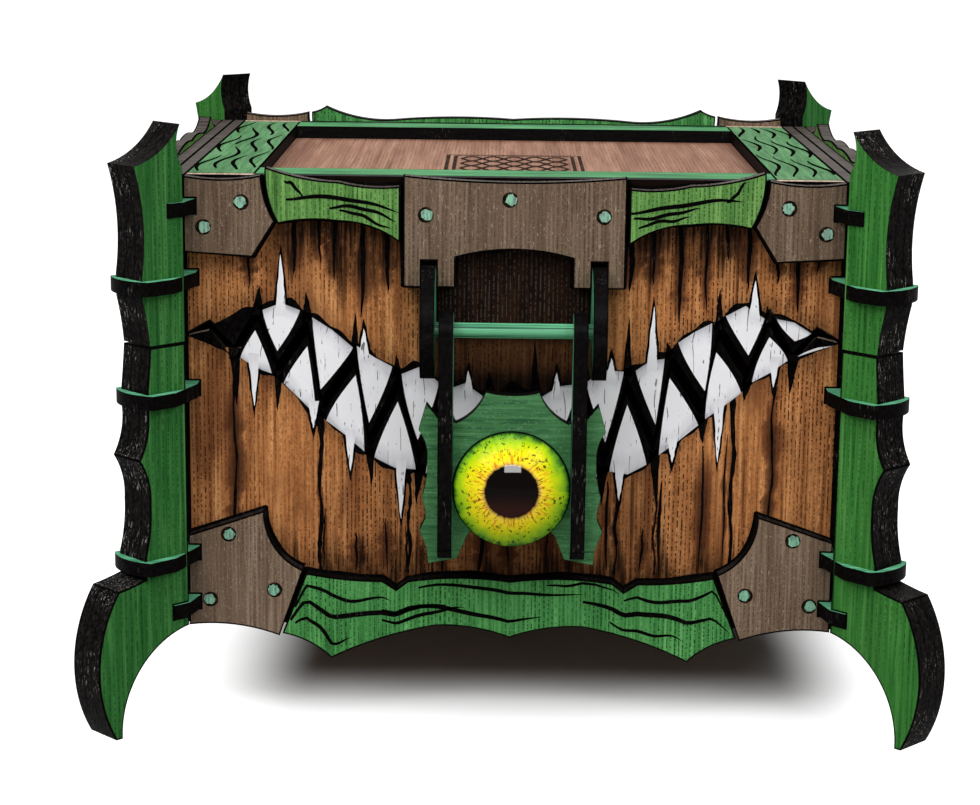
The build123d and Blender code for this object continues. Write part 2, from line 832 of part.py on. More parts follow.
os.makedirs("parts", exist_ok=True)
for node, shape in parts.items():
    export_step(shape, "parts/" + node + ".step")
print(len(parts), "nodes written")
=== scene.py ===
import json
import math
import random
import bpy
import bmesh
from mathutils import Matrix, Vector


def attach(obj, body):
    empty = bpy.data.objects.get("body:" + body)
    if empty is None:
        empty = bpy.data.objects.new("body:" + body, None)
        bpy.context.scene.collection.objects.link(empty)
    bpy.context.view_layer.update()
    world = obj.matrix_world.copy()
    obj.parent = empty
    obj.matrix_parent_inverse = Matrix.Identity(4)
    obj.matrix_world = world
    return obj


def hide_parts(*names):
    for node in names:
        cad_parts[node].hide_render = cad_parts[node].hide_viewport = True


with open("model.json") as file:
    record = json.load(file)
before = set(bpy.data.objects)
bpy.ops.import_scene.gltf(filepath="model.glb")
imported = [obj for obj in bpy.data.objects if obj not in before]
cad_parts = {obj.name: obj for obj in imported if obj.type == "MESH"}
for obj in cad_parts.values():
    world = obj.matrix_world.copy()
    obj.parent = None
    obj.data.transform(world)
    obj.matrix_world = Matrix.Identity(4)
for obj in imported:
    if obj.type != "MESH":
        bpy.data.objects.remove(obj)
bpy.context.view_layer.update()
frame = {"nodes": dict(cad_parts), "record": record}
nodes = frame["nodes"]
bodyOf = {name: body for body, names in frame["record"]["behaviour"]["bodies"].items() for name in names}
print("frame loaded:", len(nodes), "pieces")

mm = 0.001
slant = math.sqrt(0.5)
boxSizes = {"halfWidth": 87.0 * mm, "split": 104.0 * mm, "wallTop": 146.9 * mm, "wallBottom": 24.2 * mm,
            "postShift": 8.0 * mm}
# outer face of each wall and of its overlays, half width, half of the scored length, shift of its dowels in mm
frontLike = {"panel": 75.2 * mm, "overlay": 79.0 * mm, "half": 87.0 * mm, "scored": 62 * mm, "pegShift": 0.0}
sideLike = {"panel": 94.6 * mm, "overlay": 98.4 * mm, "half": 75.2 * mm, "scored": 50 * mm, "pegShift": 75.2 - 87.0}
walls = {"front": frontLike, "back": frontLike, "left": sideLike, "right": sideLike}


def tint(red, green, blue):
    linear = [(c / 255 / 12.92) if c <= 10 else ((c / 255 + 0.055) / 1.055) ** 2.4 for c in (red, green, blue)]
    return (*linear, 1.0)


def tones(dark, mid, light, pore):
    return {"dark": tint(*dark), "mid": tint(*mid), "light": tint(*light), "poreTone": tint(*pore)}


# small node helpers, so that each finish below reads as a recipe; the bench holds the tree they fill
bench = {}


def fill(sockets, values):
    for key, value in values.items():
        if isinstance(value, bpy.types.NodeSocket):
            bench["tree"].links.new(value, sockets[key])
        else:
            sockets[key].default_value = value


def add(kind, values=None, **settings):
    made = bench["tree"].nodes.new("ShaderNode" + kind)
    for key, setting in settings.items():
        setattr(made, key, setting)
    fill(made.inputs, values or {})
    return made


def startFinish(name):
    finish = bpy.data.materials.new(name)
    finish.use_nodes = True
    bench["tree"] = finish.node_tree
    bench["tree"].nodes.clear()
    shader = add("BsdfPrincipled")
    add("OutputMaterial", {0: shader.outputs[0]})
    return finish, shader.inputs


def calc(kind, a, b=0.0, c=0.0):
    return add("Math", {0: a, 1: b, 2: c}, operation=kind).outputs[0]


def chain(kind):
    def run(total, *others):
        for other in others:
            total = calc(kind, total, other)
        return total
    return run


plus, minus, times, most = (chain(kind) for kind in ("ADD", "SUBTRACT", "MULTIPLY", "MAXIMUM"))


def scaled(value, by, offset):
    return calc("MULTIPLY_ADD", value, by, offset)


def unsigned(value):
    return calc("ABSOLUTE", value)


def around(noise, reach):               # noise as a shift to both sides
    return times(minus(noise, 0.5), reach)


def mask(value, low, high):
    made = add("MapRange", {"Value": value, "From Min": low, "From Max": high}, interpolation_type="SMOOTHSTEP")
    return made.outputs["Result"]


def spread(value, low, high, start=0.3, end=0.7):
    made = add("MapRange", {"Value": value, "From Min": start, "From Max": end, "To Min": low, "To Max": high})
    return made.outputs["Result"]


def mixTone(amount, under, over):
    return add("Mix", {0: amount, 6: under, 7: over}, data_type="RGBA").outputs[2]


def toneRamp(value, *stops):
    made = add("ValToRGB", {"Fac": value})
    bar = made.color_ramp.elements
    while len(bar) < len(stops):
        bar.new(0.5)
    for stop, (place, tone) in zip(bar, stops):
        stop.position = place
        stop.color = tone
    return made.outputs["Color"]


def speckle(spot, scale, detail=2.0, rough=0.5, shift=0.0, twist=0.0):
    scale = scale if isinstance(scale, (tuple, list)) else (scale, scale, scale)
    moved = add("Mapping", {"Vector": spot, "Location": (shift, shift * 1.7, shift * 0.6), "Scale": scale})
    return add("TexNoise", {"Vector": moved.outputs[0], "Scale": 1.0, "Detail": detail, "Roughness": rough,
                            "Distortion": twist}).outputs["Fac"]


def dotWith(facing, way):
    return add("VectorMath", {0: facing, 1: way}, operation="DOT_PRODUCT").outputs["Value"]


def lengthOf(vector):
    return add("VectorMath", {0: vector}, operation="LENGTH").outputs["Value"]


def parts3(vector):
    return list(add("SeparateXYZ", {0: vector}).outputs)


def joined(x, y, z=0.0):
    return add("CombineXYZ", {0: x, 1: y, 2: z}).outputs[0]


def here():
    return add("TexCoord").outputs["Object"]


def relief(height, strength, deep):
    return add("Bump", {"Strength": strength, "Distance": deep * mm, "Height": height}).outputs[0]


# charred plywood: black flakes, with light grey scratches in worn patches that are partly real wear and partly a
# painted highlight on the glossy char
charLook = {"deep": tint(6, 5, 5), "ash": tint(19, 17, 16), "glint": tint(172, 168, 162), "scrapeAndGlint": 0.35,
            "wornGlintPatch": (0.52, 0.68), "scratchAndGlint": (0.58, 0.66), "seam": 1.9 * mm, "seamTone": tint(3, 3, 3)}


def charTone(spot, look):
    look = {**charLook, **look}
    tone = toneRamp(speckle(spot, 900, 4, 0.65, 3.1), (0.42, look["deep"]), (0.78, look["ash"]))
    glintingScratches = mask(speckle(spot, (2100, 2100, 420), 4, 0.7, 7.7), *look["scratchAndGlint"])
    patches = mask(speckle(spot, 75, 2, 0.5, 0.4), *look["wornGlintPatch"])
    # the glint tone laid on the scratches is a painted highlight
    return mixTone(times(glintingScratches, patches, look["scrapeAndGlint"]), tone, look["glint"])


def charFinish(name, look):
    finish, skin = startFinish(name)
    spot = here()
    flakes = speckle(spot, 1500, 4, 0.6, 6.0)
    fill(skin, {"Base Color": charTone(spot, look), "Specular IOR Level": 0.0,
                "Roughness": spread(flakes, 0.34, 0.6), "Normal": relief(flakes, 0.3, 0.15)})
    return finish


charredLine = charFinish("charredLine", {"scrapeAndGlint": 0.12})
# dark brown of a peg hole: partly charred wood, partly painted shade inside the hole
holeCharAndShade = charFinish("holeCharAndShade", {"scrapeAndGlint": 0.2, "deep": tint(16, 11, 9), "ash": tint(58, 42, 32)})
scoredBrown = charFinish("scoredBrown", {"scrapeAndGlint": 0.3, "deep": tint(44, 33, 28), "ash": tint(92, 74, 63)})


def alongGrain(along, across, length):
    scale = [across] * 3
    scale[along] = length
    return scale


# open pores: rows of short dark dots along the grain, thick in some patches and thin in others
poreLook = {"period": 1.12 * mm, "wander": 0.75 * mm, "cut": (0.30, 0.85), "dots": (0.44, 0.54),
            "patch": (0.34, 0.60), "thin": 0.38, "bend": (170, 16), "beads": (900, 1400), "cloud": (80, 24)}


def poreRows(spot, along, across):
    bend, beads, cloud = (alongGrain(along, *poreLook[key]) for key in ("bend", "beads", "cloud"))
    shift = around(speckle(spot, bend, 2, 0.5, 2.7), 2 * poreLook["wander"])
    wave = calc("SINE", times(plus(parts3(spot)[across], shift), 2 * math.pi / poreLook["period"]))
    dots = mask(speckle(spot, beads, 1, 0.5, 8.3), *poreLook["dots"])
    thick = mask(speckle(spot, cloud, 2, 0.5, 4.9), *poreLook["patch"])
    return times(mask(wave, *poreLook["cut"]), dots, scaled(thick, 1 - poreLook["thin"], poreLook["thin"]))


# stained plywood: grain, pores, burnt cut edges with painted glints, lighter upward edges that are partly painted
# light, raw inner face, and dark patches: burns, the top panel's darker edges, and painted shade behind the hasp on
# the front
woodLook = {"grain": (1000, 42), "streak": 0.5, "pore": 0.6, "rough": (0.50, 0.72), "bump": 0.35, "cutRough": 0.46,
            "gloss": 0.006, "rawDark": tint(150, 116, 82), "rawLight": tint(206, 176, 138)}


def woodFinish(name, look):
    look = {**woodLook, **look}
    finish, skin = startFinish(name)
    place = add("TexCoord")
    spot, facing = place.outputs["Object"], place.outputs["Normal"]

    def grain(across, length, detail, shift, twist=0.0):
        return speckle(spot, alongGrain(look["along"], across, length), detail, 0.6, shift, twist)

    across, length = look["grain"]
    fine = grain(across, length, 5, 1.3, 0.25)
    broad = grain(across * 0.2, length * 0.35, 3, 5.9, 0.4)
    pores = grain(1050, 78, 1.5, 9.2)
    tone = toneRamp(fine, (0.30, look["dark"]), (0.50, look["mid"]), (0.72, look["light"]))
    tone = mixTone(times(mask(broad, 0.42, 0.70), look["streak"]), tone, look["dark"])
    if "line" in look:
        long = mask(grain(across * 0.42, length * 0.2, 3, 12.4, 0.3), 0.60, 0.68)
        tone = mixTone(times(long, look["line"]), tone, look["poreTone"])
    dash = poreRows(spot, look["along"], look["rows"]) if "rows" in look else mask(pores, 0.60, 0.66)
    tone = mixTone(times(dash, look["pore"]), tone, look["poreTone"])
    if "stain" in look:
        cloud = mask(grain(78, 22, 4, 3.6, 0.6), 0.50, 0.66)
        grit = mask(speckle(spot, (1500, 1500, 900), 3, 0.7, 7.3), 0.50, 0.64)
        tone = mixTone(most(times(cloud, look["cloud"]), times(grit, look["grit"])), tone, look["stain"])
    if "fleck" in look:
        flecks = times(mask(speckle(spot, 1500, 2, 0.6, 4.4), 0.60, 0.70), 0.55)
        marks = times(mask(grain(1700, 420, 2, 6.6), 0.61, 0.70), 0.6)
        tone = mixTone(times(most(flecks, marks), 0.75), tone, look["fleck"])
    # darkening: burns, darker edges of the top panel, and on the front painted shade behind the hasp
    if "darkening" in look:
        darkened = look["darkening"](spot, broad, pores)
        if "singe" in look:             # soft scorch where a sheet carries a shade
            near = add("Attribute", attribute_name="rootShade").outputs["Fac"]
            near = plus(near, around(fine, mask(near, 0.0, 0.3)))
            tone = mixTone(times(mask(near, 0.0, 0.5), look["singe"]), tone, look["stain"])
            darkened = most(darkened, times(mask(near, 0.35, 1.0), look["singe"]))
        tone = mixTone(darkened, tone, look["darkeningTone"])
    if "dust" in look:
        tone = mixTone(times(dash, look["dust"](spot)), tone, look["dustTone"])
    if "inner" in look:
        raw = toneRamp(fine, (0.30, look["rawDark"]), (0.70, look["rawLight"]))
        tone = mixTone(mask(dotWith(facing, look["inner"]), 0.55, 0.75), tone, raw)
    cut = mask(unsigned(dotWith(facing, look["face"])), 0.78, 0.55)
    darkened = charTone(spot, look)
    if "seams" in look:
        darkened = mixTone(look["seams"](spot), darkened, charLook["seamTone"])
    # cut edges that face up get a lighter tone: partly the bare wood, partly painted light falling from above
    if "topEdge" in look:
        edge = look["topEdge"]
        level = mask(dotWith(facing, (0, 0, 1)), 0.6, 0.8)
        if "where" in edge:
            level = times(level, edge["where"](spot))
        topEdgeTone = toneRamp(speckle(spot, edge["scale"], 4, 0.6, 2.2), (0.36, edge["dark"]), (0.62, edge["light"]))
        darkened = mixTone(level, darkened, topEdgeTone)
    satin = add("Mix", {0: cut, 2: spread(fine, *look["rough"]), 3: look["cutRough"]}, data_type="FLOAT")
    fill(skin, {"Base Color": mixTone(cut, tone, darkened), "Roughness": satin.outputs[0],
                "Specular IOR Level": look["gloss"],
                "Normal": relief(minus(fine, times(dash, 0.6)), look["bump"], 0.25)})
    return finish


# the mouth's middle line sags between its corners, and the teeth swing about it
mouthLook = {"sag": 23 * mm, "bite": 10 * mm, "gap": 5 * mm, "seam": 0.5 * mm, "lean": 1.3 * mm, "slope": (0.3, 0.8),
             "teeth": 14, "rise": 2.6 * mm, "outline": 0.85 * mm, "inset": 1.1 * mm, "dip": 5.5 * mm, "seed": 11,
             "rootFade": (0.93, 0.25), "dipFade": (0.28, 0.13), "waves": ((0.7, 0.43, 1), (0.55, 0.97, 2))}
# dark patches on the walls, each from its bare to its darkest limit in mm; most are burns, while the patch behind the
# hasp is partly painted shade
wallDarkeningLook = {"ragged": 44 * mm, "top": (115, 128), "foot": (54, 38), "lips": (7, -1), "seam": (6, 0),
              "crown": (137, 140), "haspScorchAndShade": (30, 21), "haspScorchAndShadeBand": (42, 84), "centre": (74, 56), "lowBand": (86, 46),
              "lowWide": (66, 20), "warmTop": (105, 101), "warmFoot": (92, 98), "dustWide": (24, 18),
              "dustBand": (104, 109), "corner": (68.5, 69.5), "windowWide": (58, 71), "windowDeep": (49, 59),
              "postSeam": (0.34, 0.12)}


def fade(value, key):
    return mask(value, *(limit * mm for limit in wallDarkeningLook[key]))


def endScorch(z, ragged):
    shifted = plus(z, ragged)
    return most(fade(shifted, "top"), fade(shifted, "foot"))


def frontScorchAndShade(spot, broad, pores):
    x, y, z = parts3(spot)
    ragged = around(broad, wallDarkeningLook["ragged"])
    width = unsigned(x)
    total = times(endScorch(z, ragged), fade(width, "centre"))
    share = unsigned(calc("DIVIDE", x, boxSizes["halfWidth"]))
    middle = minus(boxSizes["split"], times(minus(1.0, mask(share, *mouthLook["slope"])), mouthLook["sag"]))
    swing = times(minus(1.0, calc("POWER", share, 4.0)), mouthLook["bite"] + mouthLook["gap"])
    off = minus(unsigned(minus(z, middle)), swing)
    total = most(total, times(fade(plus(off, times(ragged, 0.12)), "lips"), 0.55))
    low = times(fade(z, "lowBand"), fade(width, "lowWide"))
    total = most(total, times(low, times(broad, 0.85)))
    total = times(total, scaled(mask(pores, 0.62, 0.40), 0.30, 0.64))
    total = most(total, fade(z, "crown"))
    # behind the hasp: scorch deepened by painted shade from the hasp plate and arms, kept a little lighter in a band
    # under the dowel
    haspScorchAndShade = times(fade(width, "haspScorchAndShade"), scaled(fade(z, "haspScorchAndShadeBand"), 0.55, 0.45))
    left = scaled(mask(pores, 0.52, 0.44), 0.02, 0.975)
    warm = times(fade(z, "warmTop"), fade(z, "warmFoot"))
    return most(total, times(haspScorchAndShade, minus(left, times(warm, 0.13))))


def haspDust(spot):
    x, y, z = parts3(spot)
    return times(fade(unsigned(x), "dustWide"), fade(z, "dustBand"), 0.3)


def wallScorch(spot, broad, pores):
    x, y, z = parts3(spot)
    seam = fade(unsigned(minus(z, boxSizes["split"])), "seam")
    total = most(endScorch(z, around(broad, wallDarkeningLook["ragged"])), times(seam, 0.6))
    return times(total, scaled(mask(pores, 0.30, 0.58), 0.38, 0.50))


# the sunk top panel gets darker towards its edges, broken up by the broad grain
def windowEdgeDarkening(spot, broad, pores):
    x, y, z = parts3(spot)
    edge = most(fade(unsigned(x), "windowWide"), fade(unsigned(y), "windowDeep"))
    return times(edge, scaled(broad, 0.8, 0.1))


def cornerOnly(spot):
    return fade(unsigned(parts3(spot)[0]), "corner")


def postSeams(way):
    def seams(spot):
        x, y, z = parts3(spot)
        gap = unsigned(scaled(y, way, x))
        off = unsigned(times(minus(gap, boxSizes["postShift"]), slant))
        return fade(unsigned(minus(off, charLook["seam"])), "postSeam")
    return seams


# looks of the stained sheets; pairs face the front or the side
plankLook = {**tones((130, 81, 45), (179, 118, 70), (214, 156, 101), (50, 23, 10)), "along": 2, "grain": (900, 30),
             "streak": 0.36, "pore": 0.95, "line": 0.6, "rough": (0.5, 0.7), "stain": tint(72, 36, 22), "cloud": 0.55,
             "grit": 0.42, "darkeningTone": tint(17, 9, 6), "singe": 0.74, "dustTone": tint(112, 100, 92)}
wallLook = {**plankLook, "darkening": wallScorch, "singe": 0.42}
rawLook = {**tones((140, 104, 72), (176, 140, 102), (204, 172, 134), (112, 78, 50)), "grain": (700, 30),
           "streak": 0.35, "pore": 0.4, "rough": (0.55, 0.78)}
stripLook = {**tones((62, 103, 48), (95, 141, 73), (131, 173, 99), (20, 44, 18)), "along": 2, "grain": (900, 40),
             "streak": 0.40, "pore": 0.75, "line": 0.30, "rough": (0.48, 0.68)}
footLook = {**stripLook, **tones((42, 96, 46), (70, 136, 72), (106, 172, 102), (20, 44, 18)), "pore": 0.9,
            "line": 0.5}
postLook = {**tones((31, 80, 35), (51, 110, 53), (84, 140, 76), (12, 36, 14)), "along": 2, "rows": 0,
            "grain": (760, 26), "streak": 0.5, "pore": 0.5, "line": 0.45, "rough": (0.4, 0.6), "scrapeAndGlint": 0.95,
            "ash": tint(40, 37, 35), "wornGlintPatch": (0.46, 0.60)}
# a lighter copy of the post look for the posts turned the other way, the front right one among them: painted light
litPostLook = {**postLook, **tones((36, 88, 35), (57, 119, 52), (92, 150, 76), (12, 36, 14))}
tealLook = {**tones((48, 108, 78), (84, 156, 118), (122, 190, 152), (20, 58, 42)), "grain": (900, 40), "streak": 0.4,
            "pore": 0.4, "rough": (0.42, 0.62), "scrapeAndGlint": 0.16}
railLook = {**tealLook, **tones((36, 88, 54), (72, 138, 88), (126, 190, 136), (20, 58, 42)), "streak": 0.6,
            "pore": 0.6, "line": 0.55}
haspLook = {**tealLook, **tones((45, 88, 52), (63, 111, 69), (84, 134, 88), (20, 58, 42)), "grain": (1300, 60),
            "line": 0.3, "fleck": tint(104, 150, 110)}
bracketLook = {**tones((82, 66, 53), (106, 88, 72), (130, 112, 95), (50, 38, 30)), "along": 2, "grain": (1000, 36),
               "streak": 0.4, "pore": 0.6, "line": 0.2, "rough": (0.6, 0.8), "fleck": tint(168, 152, 136)}
paleBracket = {**bracketLook, **tones((90, 73, 59), (116, 97, 80), (142, 123, 105), (50, 38, 30))}
topLook = {**tones((120, 85, 69), (148, 111, 93), (171, 137, 117), (84, 54, 43)), "grain": (420, 20), "rows": 0,
           "streak": 0.6, "pore": 0.7, "line": 0.4, "rough": (0.5, 0.7), "darkening": windowEdgeDarkening,
           "darkeningTone": tint(74, 42, 32)}
frameLook = {**tones((54, 96, 59), (80, 128, 83), (113, 155, 113), (24, 54, 34)), "grain": (800, 40), "streak": 0.4,
             "pore": 0.4, "rough": (0.45, 0.66)}
# tones of the upward cut edges, lighter than the char: partly bare wood, partly painted top light
paleEdge = {"scale": (1600, 60, 60), "dark": tint(150, 124, 104), "light": tint(206, 184, 164), "where": cornerOnly}
frontEdge = {"scale": (1500, 60, 60), "dark": tint(40, 35, 33), "light": tint(92, 84, 80)}
darkEdge = {"scale": (1500, 60, 60), "dark": tint(13, 11, 10), "light": tint(44, 39, 36)}
greyEdge = {"scale": (60, 1500, 60), "dark": tint(34, 30, 28), "light": tint(88, 80, 75)}
toFront, toSide = {"face": (0, 1, 0), "rows": 0}, {"face": (1, 0, 0), "rows": 1}
levelWide, levelDeep = {"face": (0, 0, 1), "along": 0}, {"face": (0, 0, 1), "along": 1}
woodLooks = {
    "frontPlank": {**plankLook, **toFront, "inner": (0, 1, 0), "darkening": frontScorchAndShade, "dust": haspDust,
                   "topEdge": paleEdge},
    "backPlank": {**wallLook, **toFront, "inner": (0, -1, 0), "topEdge": paleEdge},
    "sidePlank": {**wallLook, **toSide, "topEdge": greyEdge},
    "sideCore": {**rawLook, "along": 2, "face": (1, 0, 0), "topEdge": greyEdge},
    "floorPly": {**rawLook, **levelWide},
    "topPly": {**topLook, **levelDeep},
    "frontStrip": {**stripLook, **toFront, "topEdge": frontEdge},
    "sideStrip": {**stripLook, **toSide, "topEdge": greyEdge},
    "footStrip": {**footLook, **toFront},
    "sideFootStrip": {**footLook, **toSide},
    "frameStrip": {**frameLook, **levelDeep},
    "postFalling": {**postLook, "face": (slant, -slant, 0), "seams": postSeams(-1.0)},
    "postRising": {**litPostLook, "face": (slant, slant, 0), "seams": postSeams(1.0)},
    "levelTeal": {**tealLook, **levelWide},
    "railGreen": {**railLook, **levelWide},
    "uprightTeal": {**tealLook, "along": 2, "face": (1, 0, 0)},
    "haspTeal": {**haspLook, "along": 0, "face": (0, 1, 0)},
    "frontBracket": {**bracketLook, **toFront, "topEdge": frontEdge},
    "footBracket": {**paleBracket, **toFront, "topEdge": darkEdge},
    "sideBracket": {**bracketLook, **toSide, "topEdge": greyEdge}}
finishes = {name: woodFinish(name, look) for name, look in woodLooks.items()}
print("wood finishes ready")


# plain streaked finishes: grooved dowel, drawn steel, dowel ends
streakLooks = {
    "dowelTeal": {"lines": ((14, 1500, 1500), 3, 0.6, 2.0), "bump": 0.35,
                  "stops": ((0.41, tint(28, 78, 58)), (0.54, tint(94, 166, 124))),
                  "skin": {"Roughness": 0.5, "Specular IOR Level": 0.05}},
    "drawnSteel": {"lines": ((40, 2600, 2600), 3, 0.6, 1.0), "rough": (0.25, 0.5),
                   "stops": ((0.3, tint(140, 140, 144)), (0.7, tint(196, 196, 200))), "skin": {"Metallic": 1.0}},
    "pegTeal": {"lines": ((1100, 1100, 300), 4, 0.6, 3.0), "bump": 0.4,
                "stops": ((0.36, tint(26, 66, 50)), (0.62, tint(88, 158, 122))), "skin": {"Roughness": 0.6}}}


def streakFinish(name, look):
    finish, skin = startFinish(name)
    lines = speckle(here(), *look["lines"])
    fill(skin, {"Base Color": toneRamp(lines, *look["stops"]), **look["skin"]})
    if "bump" in look:
        fill(skin, {"Normal": relief(lines, look["bump"], 0.2)})
    if "rough" in look:
        fill(skin, {"Roughness": spread(lines, *look["rough"], 0.0, 1.0)})
    return finish


# tooth enamel paint, grey towards the gum, with dark pin marks and hair cracks
enamelLook = {"stops": ((0.18, tint(212, 211, 214)), (0.55, tint(190, 189, 194)), (1.0, tint(118, 117, 124))),
              "mark": tint(24, 22, 22), "crackGap": 3.4 * mm, "crackBend": 4.0 * mm}


def enamelFinish():
    finish, skin = startFinish("toothPaint")
    spot = here()
    root = add("Attribute", attribute_name="rootShade").outputs["Fac"]
    wash = speckle(spot, (420, 420, 60), 4, 0.6, 8.0)
    tone = toneRamp(plus(root, around(wash, 0.5)), *enamelLook["stops"])
    pins = mask(speckle(spot, (1900, 1900, 420), 2, 0.5, 1.6), 0.70, 0.735)
    bend = around(speckle(spot, (260, 1, 60), 2, 0.5, 5.1), enamelLook["crackBend"])
    wave = calc("SINE", times(plus(parts3(spot)[0], bend), 2 * math.pi / enamelLook["crackGap"]))
    broken = mask(speckle(spot, (500, 1, 190), 3, 0.6, 2.4), 0.50, 0.56)
    marks = most(pins, times(mask(wave, 0.965, 0.99), broken, 0.9))
    fill(skin, {"Base Color": mixTone(marks, tone, enamelLook["mark"]), "Normal": relief(wash, 0.15, 0.1),
                "Roughness": 0.55})
    return finish


# glass eye: painted iris under a clear shiny coat
eyeLook = {"height": 66.4 * mm, "radius": 15.25 * mm, "edge": 1.6 * mm, "dome": 6.6 * mm, "plateFront": 89.9 * mm,
           "round": 0.15 * mm, "ring": 0.25 * mm, "ringWide": 0.4 * mm, "ringRise": 0.04 * mm, "rings": 28,
           "turns": 96, "brim": 0.2 * mm, "close": 0.992, "pupil": 0.472, "lift": 0.085}
irisStops = ((0.44, tint(248, 206, 92)), (0.56, tint(244, 218, 36)), (0.72, tint(226, 220, 14)),
             (0.86, tint(164, 200, 18)), (1.0, tint(84, 150, 36)))


def irisFinish():
    finish, skin = startFinish("irisGlass")
    x, y, z = parts3(here())
    across = calc("DIVIDE", x, eyeLook["radius"])
    height = calc("DIVIDE", minus(z, eyeLook["height"]), eyeLook["radius"])
    seen = joined(across, height)
    height = plus(height, scaled(dotWith(seen, seen), eyeLook["lift"], -eyeLook["lift"]))
    flat = joined(across, height)
    reach = lengthOf(flat)
    rx, ry = parts3(add("VectorMath", {0: flat}, operation="NORMALIZE").outputs[0])[:2]

    def rays(stretch, scale, detail, rough, shift):
        return speckle(joined(rx, ry, times(reach, stretch)), scale, detail, rough, shift)

    spokes = rays(0.22, 9, 3, 0.6, 1.0)
    blotch = speckle(flat, 2.2, 3, 0.6, 3.0)
    specks = speckle(flat, 17, 2, 0.5, 9.0)
    ragged = plus(reach, around(spokes, 0.05))
    tone = toneRamp(plus(reach, around(blotch, 0.34), around(spokes, 0.16)), *irisStops)
    layers = ((mask(rays(0.42, 13, 2, 0.5, 5.0), 0.53, 0.62), mask(reach, 0.86, 0.50), 0.85, (216, 116, 34)),
              (mask(specks, 0.62, 0.66), mask(reach, 0.48, 0.60), 0.9, (40, 44, 12)),
              (mask(rays(0.38, 21, 2, 0.5, 7.0), 0.60, 0.65), mask(reach, 0.82, 0.56), 0.85, (74, 44, 12)),
              (mask(reach, 0.90, 1.0), mask(spokes, 0.38, 0.60), 0.75, (32, 70, 26)),
              (mask(ragged, eyeLook["pupil"] + 0.06, eyeLook["pupil"] - 0.01), 1.0, 0.55, (112, 58, 26)))
    for first, second, strength, colour in layers:
        tone = mixTone(times(first, second, strength), tone, tint(*colour))
    # pupil: near black, with a painted reddish reflection towards its lower part
    pupilWithReflection = mixTone(times(mask(height, -0.02, -0.36), 0.8), tint(6, 2, 1), tint(48, 21, 12))
    tone = mixTone(mask(ragged, eyeLook["pupil"] + 0.012, eyeLook["pupil"] - 0.022), tone, pupilWithReflection)
    tone = mixTone(mask(reach, 0.995, 1.003), tone, tint(26, 44, 18))
    fill(skin, {"Base Color": tone, "Roughness": 0.4, "Specular IOR Level": 0.0, "Coat Weight": 0.12, "Coat IOR": 1.4,
                "Coat Roughness": 0.03, "Normal": relief(spokes, 0.05, 0.1)})
    return finish


finishes.update({name: streakFinish(name, look) for name, look in streakLooks.items()})
toothPaint = enamelFinish()
irisGlass = irisFinish()
print("paint, steel and glass ready")


# finish of each CAD piece by the first word found in its name, with a burnt line along its cut edges
finishWords = {
    "hinge_pins": "drawnSteel", "latch_pivot": "dowelTeal", "lid_top": "topPly", "base_floor": "floorPly",
    "post_back_right": "postFalling", "post_front_left": "postFalling", "_post_": "postRising",
    "lid_strip_": "frameStrip", "lid_rail": "railGreen", "collar": "levelTeal", "_key": "levelTeal",
    "latch_plate": "haspTeal", "latch_arm": "uprightTeal", "latch_ear": "uprightTeal", "hinge_": "uprightTeal",
    "left_bracket": "sideBracket", "right_bracket": "sideBracket", "base_front_bracket": "footBracket",
    "base_back_bracket": "footBracket", "bracket": "frontBracket", "centre_plate": "frontBracket",
    "base_left_strip": "sideFootStrip", "base_right_strip": "sideFootStrip", "left_strip": "sideStrip",
    "right_strip": "sideStrip", "lid_front_strip": "frontStrip", "strip": "footStrip", "_side_": "sideCore",
    "_planks_": "sidePlank", "_back": "backPlank", "": "frontPlank"}
edgeLook = {"line": 0.42 * mm, "fine": 0.25 * mm, "angle": 0.6, "weld": 0.005 * mm, "seal": 0.004 * mm, "flat": 0.01,
            "plain": ("hinge_pins", "latch_pivot", "latch_eye", "collar", "_key")}


def burnEdges(node, width):
    weld = node.modifiers.new("weld", "WELD")
    weld.merge_threshold = edgeLook["weld"]
    flatten = node.modifiers.new("flatten", "DECIMATE")
    flatten.decimate_type = "DISSOLVE"
    flatten.angle_limit = edgeLook["flat"]
    bevel = node.modifiers.new("burntEdge", "BEVEL")
    bevel.limit_method = "ANGLE"
    bevel.angle_limit = edgeLook["angle"]
    bevel.width = width
    bevel.segments = 2
    bevel.profile = 1.0
    bevel.material = 1
    bevel.use_clamp_overlap = True
    seal = node.modifiers.new("seal", "WELD")
    seal.merge_threshold = edgeLook["seal"]


for name, node in nodes.items():
    node.data.materials.clear()
    node.data.materials.append(finishes[next(finish for word, finish in finishWords.items() if word in name)])
    node.data.materials.append(charredLine)
    for face in node.data.polygons:
        face.material_index = 0
    if not any(word in name for word in edgeLook["plain"]):
        burnEdges(node, edgeLook["fine"] if "rail" in name else edgeLook["line"])
print("pieces finished:", len(nodes))


# sheets of paint and burnt line work, laid just off a wall
def onWall(wall, u, v, depth):
    places = {"front": (u, -depth, v), "back": (-u, depth, v), "left": (-depth, -u, v), "right": (depth, u, v),
              "top": (u, v, depth)}
    return places[wall]


def wayOn(wall, u, v, depth):
    return Vector(onWall(wall, u, v, depth)) - Vector(onWall(wall, 0, 0, 0))


def meshPiece(name, points, faces, finish):
    mesh = bpy.data.meshes.new(name)
    mesh.from_pydata(points, [], faces)
    mesh.materials.append(finish)
    piece = bpy.data.objects.new(name, mesh)
    bpy.context.scene.collection.objects.link(piece)
    return piece


def turnOut(mesh, outward=None, join=False):
    made = bmesh.new()
    made.from_mesh(mesh)
    if join:
        bmesh.ops.remove_doubles(made, verts=made.verts, dist=0.001 * mm)
    bmesh.ops.recalc_face_normals(made, faces=made.faces)
    for face in made.faces:
        if outward and face.normal.dot(outward) < 0:
            face.normal_flip()
    made.to_mesh(mesh)
    made.free()


